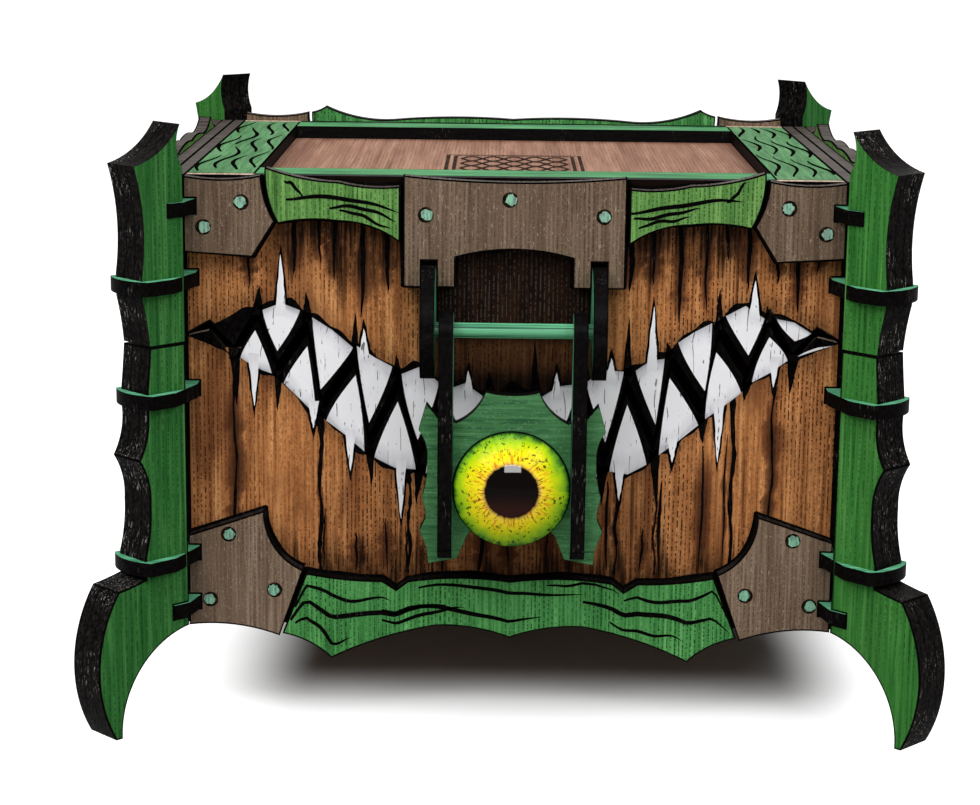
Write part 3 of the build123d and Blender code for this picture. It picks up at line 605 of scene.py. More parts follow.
# each shape is an outline, its faces and, for soft paint, a shade for each point
def layOut(name, body, finish, wall, depth, shapes):
    points, faces, shades = [], [], []
    for outline, rows, *shade in shapes:
        faces += [[len(points) + i for i in row] for row in rows]
        points += [onWall(wall, u, v, depth) for u, v in outline]
        shades += shade[0] if shade else []
    piece = meshPiece(name, points, faces, finish)
    if shades:
        held = piece.data.attributes.new("rootShade", "FLOAT", "POINT")
        held.data.foreach_set("value", shades)
    turnOut(piece.data, wayOn(wall, 0, 0, 1), bool(shades))
    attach(piece, body)


# quads between neighbouring columns of points
def columnFaces(count, columns):
    return [[at + i, at + i + 1, at + count + i + 1, at + count + i]
            for i in range(count - 1) for at in range(0, count * (columns - 1), count)]


def strokeShape(line, widths):
    left, right = [], []
    for i, (u, v) in enumerate(line):
        way = (Vector(line[min(i + 1, len(line) - 1)]) - Vector(line[max(i - 1, 0)])).normalized()
        across = Vector((-way.y, way.x)) * widths[i] / 2
        left.append((u + across.x, v + across.y))
        right.append((u - across.x, v - across.y))
    return left + right, columnFaces(len(line), 2)


def taper(count, widest, start=0.12, end=0.05):
    widths = []
    for i in range(count):
        t = i / (count - 1)
        swell = math.sin(math.pi * min(1.0, t * 0.9 + 0.1)) ** 0.6
        widths.append(widest * max(swell, start if t < 0.5 else end))
    return widths


def unit(value):
    return min(max(value, 0), 1)


# the toothed mouth: black gum, pale fangs, drips
def mouthAt(step):
    across = step / mouthLook["teeth"] - 1
    start, end = mouthLook["slope"]
    climb = unit((abs(across) - start) / (end - start))
    middle = boxSizes["split"] - mouthLook["sag"] * (1 - climb ** 2 * (3 - 2 * climb))
    swing = mouthLook["bite"] * (1 - across ** 4)
    gap = mouthLook["seam"] + (mouthLook["gap"] - mouthLook["seam"]) * (1 - across ** 8)
    lean = 4 * mouthLook["lean"] * climb * (1 - climb) * (1 if across > 0 else -1)
    return across, middle, swing, gap, lean


def mouthEdge(step, side):
    across, middle, swing, gap, lean = mouthAt(step)
    way = 1 if step % 2 else -1
    return Vector((boxSizes["halfWidth"] * across - lean * way, middle + swing * way + side * gap / 2))


mouthEdges = {side: [mouthEdge(step, side) for step in range(2 * mouthLook["teeth"] + 1)] for side in (1, -1)}


# where the teeth meet the gum
def rootLine(x, side):
    step = (x / boxSizes["halfWidth"] + 1) * mouthLook["teeth"]
    across, middle, swing, gap, lean = mouthAt(step)
    turn = math.cos(math.pi * step / 2) if side > 0 else math.sin(math.pi * step / 2)
    (rootEdge, rootSoft), (dipEdge, dipSoft) = mouthLook["rootFade"], mouthLook["dipFade"]
    inward = unit((rootEdge - abs(across)) / rootSoft)
    rise = mouthLook["rise"] * (0.3 + 0.7 * turn ** 2)
    wave = sum(size * math.sin(x / mm * pace + turns * side) for size, pace, turns in mouthLook["waves"]) * mm
    dip = mouthLook["dip"] * unit((dipEdge - abs(across)) / dipSoft) if side > 0 else 0.0
    away = swing * (0.62 + 0.38 * inward) + gap / 2 * (0.5 + 0.5 * inward) + (rise + wave) * inward
    return middle + side * away - dip


def edgeHeight(x, side):
    line = mouthEdges[side]
    for a, b in zip(line, line[1:]):
        if a.x <= x <= b.x:
            return a.y + (b.y - a.y) * (x - a.x) / (b.x - a.x)
    return line[0].y


# how far a fang's inset, sides, tip and root vary, and how its grey fades from the gum
fangLook = {"rows": 12, "inset": (0.85, 1.25), "narrow": (-0.6, 1.0), "aside": 0.6, "point": (1.9, 3.0),
            "bulge": 0.5, "root": (-1.0, 0.5), "curve": 1.12, "fade": 2.4, "grey": (0.7, 1.0), "arch": 2.5}


def fangShape(tip, side, pick):
    tall, aside = fangLook["rows"], fangLook["aside"]
    middle, before, after = (mouthEdge(tip + shift, side) for shift in (0, -1, 1))
    inset = mouthLook["inset"] * pick.uniform(*fangLook["inset"])
    before.x = before.x + pick.uniform(*fangLook["narrow"]) * mm
    after.x = after.x - pick.uniform(*fangLook["narrow"]) * mm
    point = middle + Vector((pick.uniform(-aside, aside) * mm, side * inset * pick.uniform(*fangLook["point"])))
    bulge = pick.uniform(0.0, fangLook["bulge"]) * mm
    roots = [Vector((x, rootLine(x, side) + pick.uniform(*fangLook["root"]) * mm))
             for x in (before.x + inset, after.x - inset)]
    left, between, right, shades = [], [], [], []
    for row in range(tall + 1):
        t = row / tall                  # 0 at the gum, 1 at the tip
        swell = bulge * math.sin(math.pi * t)
        for root, column, way in zip(roots, (left, right), (-1, 1)):
            column.append((root.x + (point.x - root.x) * t ** fangLook["curve"] + way * swell,
                           root.y + (point.y - root.y) * t))
        shades.append(max(0.0, 1 - t * fangLook["fade"]) * pick.uniform(*fangLook["grey"]))
        x, y = ((a + b) / 2 for a, b in zip(left[-1], right[-1]))
        between.append((x, y + (rootLine(x, side) - y) * max(0, 1 - t * fangLook["arch"])))
    return left + between + right, columnFaces(tall + 1, 3), shades * 3


def spikeShape(x, start, way, length, width, pick, drift=0.0):
    count, shake = gumLook["spikePoints"], gumLook["shake"]
    places = [i / (count - 1) for i in range(count)]
    line = [(x + (drift * t + pick.uniform(-shake, shake) * (t > 0)) * mm, start + way * length * t) for t in places]
    return strokeShape(line, [width * (1 - t) ** gumLook["taper"] + gumLook["tip"] for t in places])


# tooth counted from the left, height of its drip in mm, shift from the tip; rim and core: extra height, width
dripLook = {"lid": ((4, 14, 1.0), (8, 6, -1.5), (12, 5, 0.6), (16, 5, -0.6), (18, 4, 1.5), (20, 15, -1.0),
                    (24, 8, 1.2)),
            "base": ((3, 12, -1.0), (5, 5, 1.5), (7, 9, -1.2), (9, 14, 0.8), (19, 8, -1.4), (21, 5, 1.0),
                     (23, 15, 0.6), (25, 6, 1.6)),
            "rim": (5.2, 4.4 * mm), "core": (2.4, 2.9 * mm), "root": 3.4 * mm,
            "shade": [0.45, 0.4, 0.3, 0.25, 0.2, 0.15, 0.15, 0.1, 0.1]}
gumLook = {"count": 340, "spikes": (2.5, 4.0, 6.0, 9.0, 14.0), "reach": 80 * mm, "first": -0.80,
           "last": {1: 0.87, -1: 0.95}, "gumRise": 0.04 * mm, "fangRise": 0.09 * mm, "dripRise": 0.12 * mm,
           "trim": 0.99, "lap": 0.05 * mm, "least": 0.5 * mm, "aside": 0.3, "spikeMore": 2 * mm,
           "spikeRoot": 1.5 * mm, "spikeWide": (2.2, 3.4), "spikePoints": 9, "shake": 0.12, "taper": 0.85,
           "tip": 0.06 * mm}


def paintMouth():
    pick = random.Random(mouthLook["seed"])
    count, teeth, half = gumLook["count"], mouthLook["teeth"], boxSizes["halfWidth"]
    for body, side in (("lid", 1), ("base", -1)):
        fangs, spikes, drips, upper, lower = [], [], [], [], []
        for i in range(count + 1):
            x = half * (2 * i / count - 1) * gumLook["trim"]
            lower.append((x, edgeHeight(x, side) + side * gumLook["lap"]))
            edge = lower[-1][1] + side * gumLook["least"]
            over = rootLine(x, side) + side * mouthLook["outline"] * (1 - (x / half) ** 8)
            upper.append((x, max(edge, over) if side > 0 else min(edge, over)))
        first = 2 if side > 0 else 1
        for tip in range(first, 2 * teeth, 2):
            if tip != teeth and gumLook["first"] < tip / teeth - 1 < gumLook["last"][side]:
                fangs.append(fangShape(tip, side, pick))
        for valley in range(3 - first, 2 * teeth, 2):
            x = mouthEdge(valley, side).x + pick.uniform(-gumLook["aside"], gumLook["aside"]) * mm
            if abs(x) < gumLook["reach"]:
                length = pick.choice(gumLook["spikes"]) * mm + gumLook["spikeMore"]
                start = rootLine(x, side) - side * gumLook["spikeRoot"]
                width = pick.uniform(*gumLook["spikeWide"]) * mm
                spikes.append(spikeShape(x, start, side, length, width, pick, pick.uniform(-1, 1)))
        for tip, tall, shift in dripLook[body]:
            x = mouthEdge(tip, side).x + shift * mm
            start = rootLine(x, side) - side * dripLook["root"]
            for made, kind in ((spikes, "rim"), (drips, "core")):
                more, width = dripLook[kind]
                made.append(spikeShape(x, start, side, (tall + more) * mm, width, pick))
        sheets = (("MouthGum", charredLine, "gumRise", [(lower + upper, columnFaces(count + 1, 2))] + spikes),
                  ("Fangs", toothPaint, "fangRise", fangs),
                  ("Drips", toothPaint, "dripRise", [(*drip, dripLook["shade"] * 2) for drip in drips]))
        for name, finish, rise, shapes in sheets:
            layOut(body + name, body, finish, "front", walls["front"]["panel"] + gumLook[rise], shapes)


paintMouth()
print("mouth painted")


# the laser's burn left on the wall round every overlay
haloLook = {"wide": 0.7, "waver": 0.3, "rise": 0.02 * mm, "jointRise": 0.04 * mm, "turns": 12, "margin": 0.05 * mm,
            "waves": ((1, 0.19, 0.27), (0.6, 0.53, -0.31)), "swing": 1.6, "straight": 1e-11}


def rimEdges(name, wall):
    outward, along = wayOn(wall, 0, 0, 1), wayOn(wall, 1, 0, 0)
    mesh = nodes[name].data
    seen = {}
    for face in mesh.polygons:
        if face.normal.dot(outward) > 0.99:
            ring = [mesh.vertices[i].co for i in face.vertices]
            ring = [(round(co.dot(along), 6), round(co.z, 6)) for co in ring]
            for a, b in zip(ring, ring[1:] + ring[:1]):
                key = (min(a, b), max(a, b))
                seen[key] = seen.get(key, 0) + 1
    return [key for key, uses in seen.items() if uses == 1]


def haloReach(u, v):
    slow = sum(size * math.sin(u / mm * across + v / mm * up) for size, across, up in haloLook["waves"])
    return (haloLook["wide"] + haloLook["waver"] * slow / haloLook["swing"]) * mm


# an outline kept inside the wall, without doubled points or points on a straight run
def keptInside(outline, half, low, high):
    held, corners = [], []
    for u, v in outline:
        point = (min(max(u, -half), half), min(max(v, low), high))
        if point not in held:
            held.append(point)
    for i, (u, v) in enumerate(held):
        (au, av), (bu, bv) = held[i - 1], held[(i + 1) % len(held)]
        if abs((u - au) * (bv - v) - (v - av) * (bu - u)) > haloLook["straight"]:
            corners.append((u, v))
    return [(corners, [list(range(len(corners)))])] if len(corners) > 2 else []


def burnHalos():
    margin = haloLook["margin"]
    angles = [k * 2 * math.pi / haloLook["turns"] for k in range(haloLook["turns"])]
    heights = {"lid": ("split", "wallTop"), "base": ("wallBottom", "split")}
    for wall, sizes in walls.items():
        for body, (low, high) in heights.items():
            limits = sizes["half"] - margin, boxSizes[low] + margin, boxSizes[high] - margin
            shapes, joints = [], []
            names = [body + "_" + wall + ending for ending in ("_brackets", "_strip", "_strips")]
            names += ["lid_centre_plate"] if (body, wall) == ("lid", "front") else []
            for name in names:
                for a, b in rimEdges(name, wall) if name in nodes else ():
                    start, end = haloReach(*a), haloReach(*b)
                    outline, rows = strokeShape([a, b], [2 * start, 2 * end])
                    shapes += keptInside([outline[i] for i in rows[0]], *limits)
                    ring = [(a[0] + start * math.cos(turn), a[1] + start * math.sin(turn)) for turn in angles]
                    joints += keptInside(ring, *limits)
            for kind, rise, made in (("Halo_", "rise", shapes), ("HaloJoints_", "jointRise", joints)):
                depth = sizes["panel"] + haloLook[rise]
                layOut(body + kind + wall, body, charredLine, wall, depth, made)


burnHalos()
print("halos burnt")


# lower and upper edge of a carved strip at one place along it
def stripSpan(name, wall, u):
    axis = 0 if wall in ("front", "back") else 1
    sign = -1 if wall in ("back", "left") else 1
    heights = []
    points = nodes[name].data.vertices
    for edge in nodes[name].data.edges:
        a, b = points[edge.vertices[0]].co, points[edge.vertices[1]].co
        ua, ub = a[axis] * sign, b[axis] * sign
        if (ua - u) * (ub - u) <= 0 and abs(ua - ub) > 1e-7:
            heights.append(a.z + (b.z - a.z) * (u - ua) / (ub - ua))
    return (min(heights), max(heights)) if heights else None


# burnt cracks down the planks, with soft scorch beside them; places in mm
crackLook = {"seed": 5, "wide": 0.9 * mm, "singe": 6.0 * mm, "drift": 0.22, "points": 12, "foot": 39 * mm,
             "lidTop": 131 * mm, "pitch": 8.6, "baseReach": 60 * mm, "rise": 0.03 * mm,
             "singeRise": {"First": 0.010 * mm, "Second": 0.014 * mm}, "singeWide": (0.55, 1.4), "crowd": 1.2,
             "widths": (0.5, 1.3), "root": 0.5, "lidRoot": 1.2, "tip": 0.08, "tuck": 0.4 * mm, "least": 3 * mm,
             "lidShare": (0.35, 0.95), "places": 8, "aside": 2.5, "clear": 2 * mm, "baseShare": (0.3, 1.0),
             "frontLid": (-71, -58, -52, -47, -40, -34, 31, 37, 44, 51, 56, 62, 69, 75, 81),
             "walls": {"back": (84, "backPlank"), "left": (72, "sidePlank"), "right": (72, "sidePlank")}}
# joints between the planks of the front, each with its width in mm
jointLook = {"places": ((-74.5, 0.7), (-51.5, 1.1), (-27.5, 0.9), (28.5, 0.8), (39.0, 0.6), (59.5, 1.0), (70.0, 0.6)),
             "points": 24, "raise": 1.5 * mm, "sway": 0.35, "pace": 0.6, "shake": 0.12, "widths": (0.5, 1.35),
             "head": 4, "headWide": 1.6}
# cracks in the other walls, in mm
wallCracks = {"ends": (6.0, 4), "step": (7, 13), "lidTops": (126, 131), "lidLeast": 8, "lidFoot": 106,
              "baseTops": (60, 101), "aside": 3, "baseShare": (0.4, 0.9), "baseFoot": 38}


# soft scorch along a burnt line: dark in its middle, bare at its sides and ends
def singeShape(line, wide, pick):
    outline, rows = strokeShape(line, [wide * pick.uniform(*crackLook["singeWide"]) for point in line])
    count = len(line)
    middle = [min(1.0, 3 * i / (count - 1), 3 - 3 * i / (count - 1)) for i in range(count)]
    bare = [0.0] * count
    return outline[:count] + list(line) + outline[count:], columnFaces(count, 3), bare + middle + bare


def burnLines(name, body, wall, finish, lines, pick):
    depth = walls[wall]["panel"]
    cracks = [strokeShape(*line) for line in lines]
    layOut(name, body, charredLine, wall, depth + crackLook["rise"], cracks)
    lines = sorted((line for line, widths in lines), key=lambda line: line[0][0])

    def room(line):
        gap = min(abs(other[0][0] - line[0][0]) for other in lines if other is not line)
        return min(crackLook["singe"], crackLook["crowd"] * gap)

    for order, (mark, rise) in enumerate(crackLook["singeRise"].items()):
        singes = [singeShape(line, room(line), pick) for line in lines[order::2]]
        layOut(name + "Singe" + mark, body, finishes[finish], wall, depth + rise, singes)


def crackPlanks():
    pick = random.Random(crackLook["seed"])
    foot, aside = crackLook["foot"], crackLook["aside"]

    def crack(u, high, length, root=crackLook["root"]):
        line, drift, count = [], 0.0, crackLook["points"]
        for i in range(count):
            drift += pick.uniform(-crackLook["drift"], crackLook["drift"]) * mm
            line.append((u + drift, high - length * i / (count - 1)))
        return line, taper(count, crackLook["wide"] * pick.uniform(*crackLook["widths"]), root, crackLook["tip"])

    lines = []
    for u in crackLook["frontLid"]:
        span = stripSpan("lid_front_strips", "front", u * mm)
        top = (span[0] + crackLook["tuck"]) if span else crackLook["lidTop"]
        room = top - rootLine(u * mm, 1)
        length = max(crackLook["least"], room * pick.uniform(*crackLook["lidShare"]))
        lines.append(crack(u * mm, top, length, crackLook["lidRoot"]))
    burnLines("lidFrontCracks", "lid", "front", "frontPlank", lines, pick)
    lines = []
    for place in range(-crackLook["places"], crackLook["places"] + 1):
        u = (place * crackLook["pitch"] + pick.uniform(-aside, aside)) * mm
        if abs(u) <= crackLook["baseReach"]:
            length = (rootLine(u, -1) - foot - crackLook["clear"]) * pick.uniform(*crackLook["baseShare"])
            lines.append(crack(u, foot + length, length))
    count, shake = jointLook["points"], jointLook["shake"]
    heads = [jointLook["headWide"] if i < jointLook["head"] else 1.0 for i in range(count)]
    for u, width in jointLook["places"]:
        high = rootLine(u * mm, -1) + jointLook["raise"]
        line = [((u + jointLook["sway"] * math.sin(i * jointLook["pace"] + u) + pick.uniform(-shake, shake)) * mm,
                 high + (foot - high) * i / (count - 1)) for i in range(count)]
        lines.append((line, [width * pick.uniform(*jointLook["widths"]) * mm * head for head in heads]))
    burnLines("baseFrontCracks", "base", "front", "frontPlank", lines, pick)
    (first, last), aside = wallCracks["ends"], wallCracks["aside"]
    for wall, (reach, finish) in crackLook["walls"].items():
        lidLines, baseLines = [], []
        u = -reach + first
        while u < reach - last:
            top = pick.uniform(*wallCracks["lidTops"])
            length = pick.uniform(wallCracks["lidLeast"], top - wallCracks["lidFoot"])
            lidLines.append(crack(u * mm, top * mm, length * mm))
            top = pick.uniform(*wallCracks["baseTops"])
            place = u + pick.uniform(-aside, aside)
            length = pick.uniform(*wallCracks["baseShare"]) * (top - wallCracks["baseFoot"])
            baseLines.append(crack(place * mm, top * mm, length * mm))
            u += pick.uniform(*wallCracks["step"])
        burnLines("lidCracks_" + wall, "lid", wall, finish, lidLines, pick)
        burnLines("baseCracks_" + wall, "base", wall, finish, baseLines, pick)


crackPlanks()
print("planks cracked")


# scored lines along the carved strips: level and fall as shares of the height, start and end of the length, width
strokeLook = {"seed": 23, "rise": 0.05 * mm, "wide": 1.3 * mm, "points": 25, "ends": (30.2, 62),
              "short": ((0.52, 0.06, 0.99, 0.9, -0.08), (0.36, 0.42, 0.97, 0.8, -0.05), (0.90, 0.05, 0.21, 0.7, 0.34),
                        (0.24, 0.50, 0.93, 0.7, 0.06)),
              "long": ((0.80, 0.03, 0.24, 0.8, 0.08), (0.64, 0.02, 0.36, 1.1, 0.28), (0.46, 0.22, 0.57, 1.0, 0.20),
                       (0.28, 0.22, 0.40, 0.8, -0.05), (0.82, 0.30, 0.66, 0.8, 0.10), (0.34, 0.03, 0.15, 0.8, 0.16),
                       (0.58, 0.66, 0.98, 1.1, 0.20), (0.76, 0.75, 0.98, 0.8, -0.04), (0.22, 0.72, 0.88, 0.7, 0.02),
                       (0.90, 0.58, 0.74, 0.6, 0.03)),
              "waves": ((0.05, 1, 5.2), (0.02, 3, 13)), "phase": 6, "inside": (0.07, 0.93), "tips": (0.25, 0.1)}
# tracks along the side strips of the lid's frame, in mm
trackLook = {"count": 4, "first": 71.6, "gap": 4.3, "start": -70, "aside": 12, "stopBy": 52, "last": 69,
             "length": (32, 58), "rest": (3, 9), "points": 19, "sway": (1.7, 0.125, 0.7), "wide": (1.0, 1.45),
             "tips": (0.15, 0.1)}


def scoreStrip(name, wall, depth, left, right, tracks, pick):
    shapes = []
    low, high = strokeLook["inside"]
    for level, start, end, wide, fall in tracks:
        line = []
        phase = pick.uniform(0, strokeLook["phase"])
        for i in range(strokeLook["points"]):
            t = i / (strokeLook["points"] - 1)
            u = left + (right - left) * (start + (end - start) * t)
            span = stripSpan(name, wall, u)
            if span:
                at = level - fall * t
                for size, turns, pace in strokeLook["waves"]:
                    at += size * math.sin(turns * phase + pace * t)
                line.append((u, span[0] + (span[1] - span[0]) * min(high, max(low, at))))
        if len(line) > 4:
            shapes.append(strokeShape(line, taper(len(line), strokeLook["wide"] * wide, *strokeLook["tips"])))
    layOut("scored_" + name + "_" + ("a" if left < 0 else "b"), bodyOf[name], charredLine, wall,
           depth + strokeLook["rise"], shapes)


def scoreStrips():
    pick = random.Random(strokeLook["seed"])
    near, far = (end * mm for end in strokeLook["ends"])
    short, flush = strokeLook["short"], walls["front"]["overlay"]
    flip = [(level - fall, 1 - end, 1 - start, wide, -fall) for level, start, end, wide, fall in short]
    scoreStrip("lid_front_strips", "front", flush, -far, -near, short, pick)
    scoreStrip("lid_front_strips", "front", flush, near, far, flip, pick)
    for wall, sizes in walls.items():
        for name in ("base_" + wall + "_strip", "lid_" + wall + "_strip"):
            if name in nodes:
                half = sizes["scored"]
                scoreStrip(name, wall, sizes["overlay"], -half, half, strokeLook["long"], pick)
    sway, pace, turn = trackLook["sway"]
    count = trackLook["points"]
    for name, sign in (("lid_strip_left", -1), ("lid_strip_right", 1)):
        shapes = []
        for track in range(trackLook["count"]):
            base = trackLook["first"] + track * trackLook["gap"]
            y = trackLook["start"] + pick.uniform(0, trackLook["aside"])
            while y < trackLook["stopBy"]:
                stop = min(trackLook["last"], y + pick.uniform(*trackLook["length"]))
                places = [y + (stop - y) * i / (count - 1) for i in range(count)]
                line = [(sign * (base + sway * math.sin(at * pace + track * turn)) * mm, at * mm) for at in places]
                widest = pick.uniform(*trackLook["wide"]) * mm
                shapes.append(strokeShape(line, taper(count, widest, *trackLook["tips"])))
                y = stop + pick.uniform(*trackLook["rest"])
        height = boxSizes["wallTop"] + strokeLook["rise"]
        layOut("scored_" + name, "lid", charredLine, "top", height, shapes)


scoreStrips()
print("strips scored")


# dowel ends in the brackets: a dark disc for the hole, dark partly from the charred wood and partly as painted shade
# inside it, and a teal end a little proud of its floor; places in mm
pegLook = {"holes": {"radius": 2.1 * mm, "rise": 0.04 * mm, "wobble": 0.03},
           "ends": {"radius": 1.5 * mm, "rise": 0.10 * mm, "wobble": 0.16}, "shift": 0.3, "seed": 3, "turns": 18,
           "lid": ((71.8, 140.2), (81.8, 133.5)), "base": ((76.1, 50.1), (63.8, 34.6), (81.2, 31.8)),
           "plate": ((-23.4, 137.4), (-1.3, 141.6), (23.4, 137.4))}


def pegBrackets():
    pick = random.Random(pegLook["seed"])
    turns = pegLook["turns"]
    holes, ends = {"lid": [], "base": []}, {"lid": [], "base": []}

    def disc(wall, u, v, look):
        depth = walls[wall]["overlay"] + look["rise"]
        points = [onWall(wall, u, v, depth)]
        turn = pick.uniform(0, 6.3)
        for i in range(turns):
            angle = turn + 2 * math.pi * i / turns
            reach = look["radius"] * (1 + look["wobble"] * pick.uniform(-1, 1))
            points.append(onWall(wall, u + reach * math.cos(angle), v + reach * math.sin(angle), depth))
        return points

    for wall, sizes in walls.items():
        for body in ("lid", "base"):
            spots = [(sign * (sizes["pegShift"] + u), v) for u, v in pegLook[body] for sign in (-1, 1)]
            spots += pegLook["plate"] if (body, wall) == ("lid", "front") else ()
            for u, v in spots:
                holes[body] += disc(wall, u * mm, v * mm, pegLook["holes"])
                aside = pegLook["shift"] * pick.choice((-1, 1))
                ends[body] += disc(wall, (u + aside) * mm, v * mm, pegLook["ends"])
    for body in ("lid", "base"):
        sheets = (("PegHoles", holes[body], holeCharAndShade), ("PegEnds", ends[body], finishes["pegTeal"]))
        for name, points, finish in sheets:
            faces = [[first, first + 1 + i, first + 1 + (i + 1) % turns]
                     for first in range(0, len(points), turns + 1) for i in range(turns)]
            piece = meshPiece(body + name, points, faces, finish)
            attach(piece, body)


pegBrackets()
print("dowel ends set")


# plain two-strand interlace scored in the middle of the sunk top panel
knotLook = {"wide": 19.5, "front": -55.0, "back": 14.0, "line": 1.1 * mm, "height": 143.1 * mm, "rows": 5,
            "insets": (0.0, 2.2), "margin": 4, "twin": 0.75, "points": 73, "rises": (0.04 * mm, 0.07 * mm),
            "sidePoints": 5, "waves": 5, "inside": 0.6, "thin": 0.8}


def scoreKnot():
    shapes = []
    count = knotLook["sidePoints"]
    left, right, front, back = -knotLook["wide"], knotLook["wide"], knotLook["front"], knotLook["back"]
    for inset in knotLook["insets"]:
        ring = [(left + inset, front + inset), (right - inset, front + inset), (right - inset, back - inset),
                (left + inset, back - inset), (left + inset, front + inset)]
        for a, b in zip(ring, ring[1:]):
            line = [tuple((p + (q - p) * i / (count - 1)) * mm for p, q in zip(a, b)) for i in range(count)]
            shapes.append(strokeShape(line, [knotLook["line"]] * count))
    under, over = (knotLook["height"] + rise for rise in knotLook["rises"])
    layOut("topFrameLines", "lid", scoredBrown, "top", under, shapes)
    margin, count = knotLook["margin"], knotLook["points"]
    deep = (back - front - 2 * margin) / knotLook["rows"]
    swing = deep / 2 - knotLook["inside"]
    for strand, phase, height in (("First", 0.0, under), ("Second", math.pi, over)):
        shapes = []
        for row in range(knotLook["rows"]):
            middle = front + margin + deep * (row + 0.5)
            for shift in (-knotLook["twin"], knotLook["twin"]):
                line = []
                for i in range(count):
                    t = i / (count - 1)
                    x = left + margin + (right - left - 2 * margin) * t
                    y = middle + shift + swing * math.sin(knotLook["waves"] * math.pi * t + phase)
                    line.append((x * mm, y * mm))
                shapes.append(strokeShape(line, [knotLook["line"] * knotLook["thin"]] * count))
        layOut("topStrand" + strand, "lid", scoredBrown, "top", height, shapes)


scoreKnot()
print("top scored")


# glass eye, turned as one dome
def turnEye():
    radius, dome, edge, turns = (eyeLook[key] for key in ("radius", "dome", "edge", "turns"))
    ball = (radius ** 2 + dome ** 2) / (2 * dome)
    crown = edge + dome
    profile = [(radius - eyeLook["round"], 0.0), (radius, eyeLook["round"]), (radius, edge - eyeLook["brim"])]
    widest = math.asin(radius / ball)
    for i in range(eyeLook["rings"]):
        angle = widest * (1 - i / eyeLook["rings"]) * eyeLook["close"]
        profile.append((ball * math.sin(angle), crown - ball + ball * math.cos(angle)))
    angles = [2 * math.pi * k / turns for k in range(turns)]
    height, front = eyeLook["height"], eyeLook["plateFront"]
    points = [onWall("front", reach * math.cos(angle), height + reach * math.sin(angle), front + out)
              for reach, out in profile for angle in angles]
    faces = [[ring + k, ring + (k + 1) % turns, ring + turns + (k + 1) % turns, ring + turns + k]
             for ring in range(0, (len(profile) - 1) * turns, turns) for k in range(turns)]
    last, top = (len(profile) - 1) * turns, len(points)
    points.append(onWall("front", 0.0, height, front + crown))
    faces += [[last + k, last + (k + 1) % turns, top] for k in range(turns)]
    eye = meshPiece("eyeGlass", points, faces, irisGlass)
    eye.data.shade_smooth()
    turnOut(eye.data)
    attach(eye, "latch")
    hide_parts("latch_eye")
    # a thin dark ring on the plate round the glass: painted shadow where the dome meets the plate
    reach = radius + eyeLook["ring"]
    ring = [(reach * math.cos(angle), height + reach * math.sin(angle)) for angle in angles + [2 * math.pi]]
    layOut("eyeShadowRing", "latch", charredLine, "front", front + eyeLook["ringRise"],
           [strokeShape(ring, [eyeLook["ringWide"]] * len(ring))])


turnEye()
print("eye set")


# pale floor that runs to white, with a soft shadow box under the chest
floorLook = {"size": 9.0, "drop": 0.0002, "tone": 0.36, "shade": (10.5 * mm, 65 * mm, 36 * mm), "sideFall": 2.2,
             "fade": 0.077}


def seenRays():
    path = add("LightPath").outputs
    return most(path["Is Camera Ray"], path["Is Glossy Ray"], path["Is Transmission Ray"])


def floorFinish():
    finish, skin = startFinish("paleFloor")
    spot = here()
    grain = speckle(spot, 300, 2, 0.5, 1.0)
    tone = floorLook["tone"]
    x, y, z = parts3(spot)
    middle, wide, deep = floorLook["shade"]
    aside = times(most(minus(unsigned(minus(x, middle)), wide), 0.0), floorLook["sideFall"])
    ahead = most(minus(unsigned(y), deep), 0.0)
    glow = mask(lengthOf(joined(aside, ahead)), 0.0, floorLook["fade"])
    stops = [(place, (grey, grey, grey, 1)) for place, grey in ((0.3, tone * 0.99), (0.7, tone))]
    fill(skin, {"Base Color": toneRamp(grain, *stops), "Roughness": 0.9, "Specular IOR Level": 0.1,
                "Emission Color": (1, 1, 1, 1), "Emission Strength": times(seenRays(), glow)})
    return finish


# soft studio light: place, size, power; the window lamp only makes glints
stageLook = {"sky": 0.2, "aim": (0, 0, 0.08), "lamps": (
    ("windowLamp", (0.03, -1.00, 0.53), (0.44, 0.20), 34.0), ("topLamp", (-0.10, -0.50, 1.10), (0.7, 0.7), 8.4),
    ("leftLamp", (-0.70, -0.74, 0.84), (0.5, 0.5), 7.0), ("rightLamp", (0.70, -0.74, 0.86), (0.5, 0.5), 5.8),
    ("backLamp", (0.15, 0.95, 0.80), (0.6, 0.6), 4.0))}


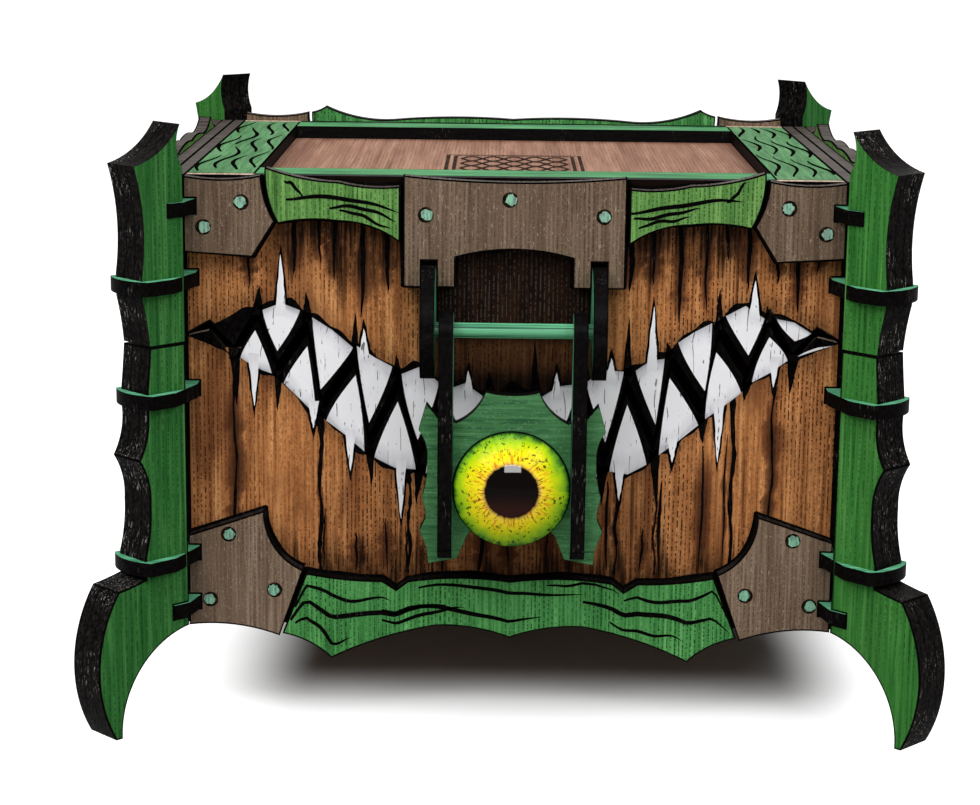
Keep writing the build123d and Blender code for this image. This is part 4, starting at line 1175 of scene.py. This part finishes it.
def setStage():
    size = floorLook["size"]
    corners = [(-size, -size, 0), (size, -size, 0), (size, size, 0), (-size, size, 0)]
    floor = meshPiece("floor", corners, [[0, 1, 2, 3]], floorFinish())
    floor.location.z = -floorLook["drop"]
    world = bpy.data.worlds.new("studio")
    bpy.context.scene.world = world
    world.use_nodes = True
    bench["tree"] = world.node_tree
    bench["tree"].nodes.clear()
    strength = plus(stageLook["sky"], times(seenRays(), 1.0 - stageLook["sky"]))
    sky = add("Background", {"Color": (1, 1, 1, 1), "Strength": strength})
    add("OutputWorld", {0: sky.outputs[0]})
    for name, place, (wide, tall), power in stageLook["lamps"]:
        data = bpy.data.lights.new(name, "AREA")
        data.shape = "RECTANGLE"
        data.size, data.size_y = wide, tall
        data.energy = power
        lamp = bpy.data.objects.new(name, data)
        lamp.visible_diffuse = name != "windowLamp"
        lamp.location = place
        lamp.rotation_euler = (Vector(stageLook["aim"]) - Vector(place)).to_track_quat("-Z", "Y").to_euler()
        bpy.context.scene.collection.objects.link(lamp)


# camera as fitted to the photo, angles in degrees
cameraLook = {"place": (-3.59 * mm, -696.27 * mm, 220.69 * mm), "sensor": 36, "lens": 2369.6 / 980 * 36,
              "clip": (0.01, 20), "pitch": 12.19, "yaw": 0.220, "roll": 0.665}


def setCamera():
    pitch, yaw, roll = (math.radians(cameraLook[key]) for key in ("pitch", "yaw", "roll"))
    level = Vector((math.cos(yaw), math.sin(yaw), 0))
    ahead = Vector((-math.sin(yaw), math.cos(yaw), 0))
    forward = math.cos(pitch) * ahead - math.sin(pitch) * Vector((0, 0, 1))
    upward = math.sin(pitch) * ahead + math.cos(pitch) * Vector((0, 0, 1))
    right = math.cos(roll) * level + math.sin(roll) * upward
    top = math.cos(roll) * upward - math.sin(roll) * level
    turn = Matrix((right, top, -forward)).transposed().to_4x4()
    data = bpy.data.cameras.new("camera")
    data.sensor_width = cameraLook["sensor"]
    data.lens = cameraLook["lens"]
    data.clip_start, data.clip_end = cameraLook["clip"]
    camera = bpy.data.objects.new("camera", data)
    camera.matrix_world = Matrix.Translation(cameraLook["place"]) @ turn
    bpy.context.scene.collection.objects.link(camera)
    bpy.context.scene.camera = camera


setStage()
setCamera()
bpy.context.scene.view_settings.view_transform = "Standard"
print("stage, light and camera set")
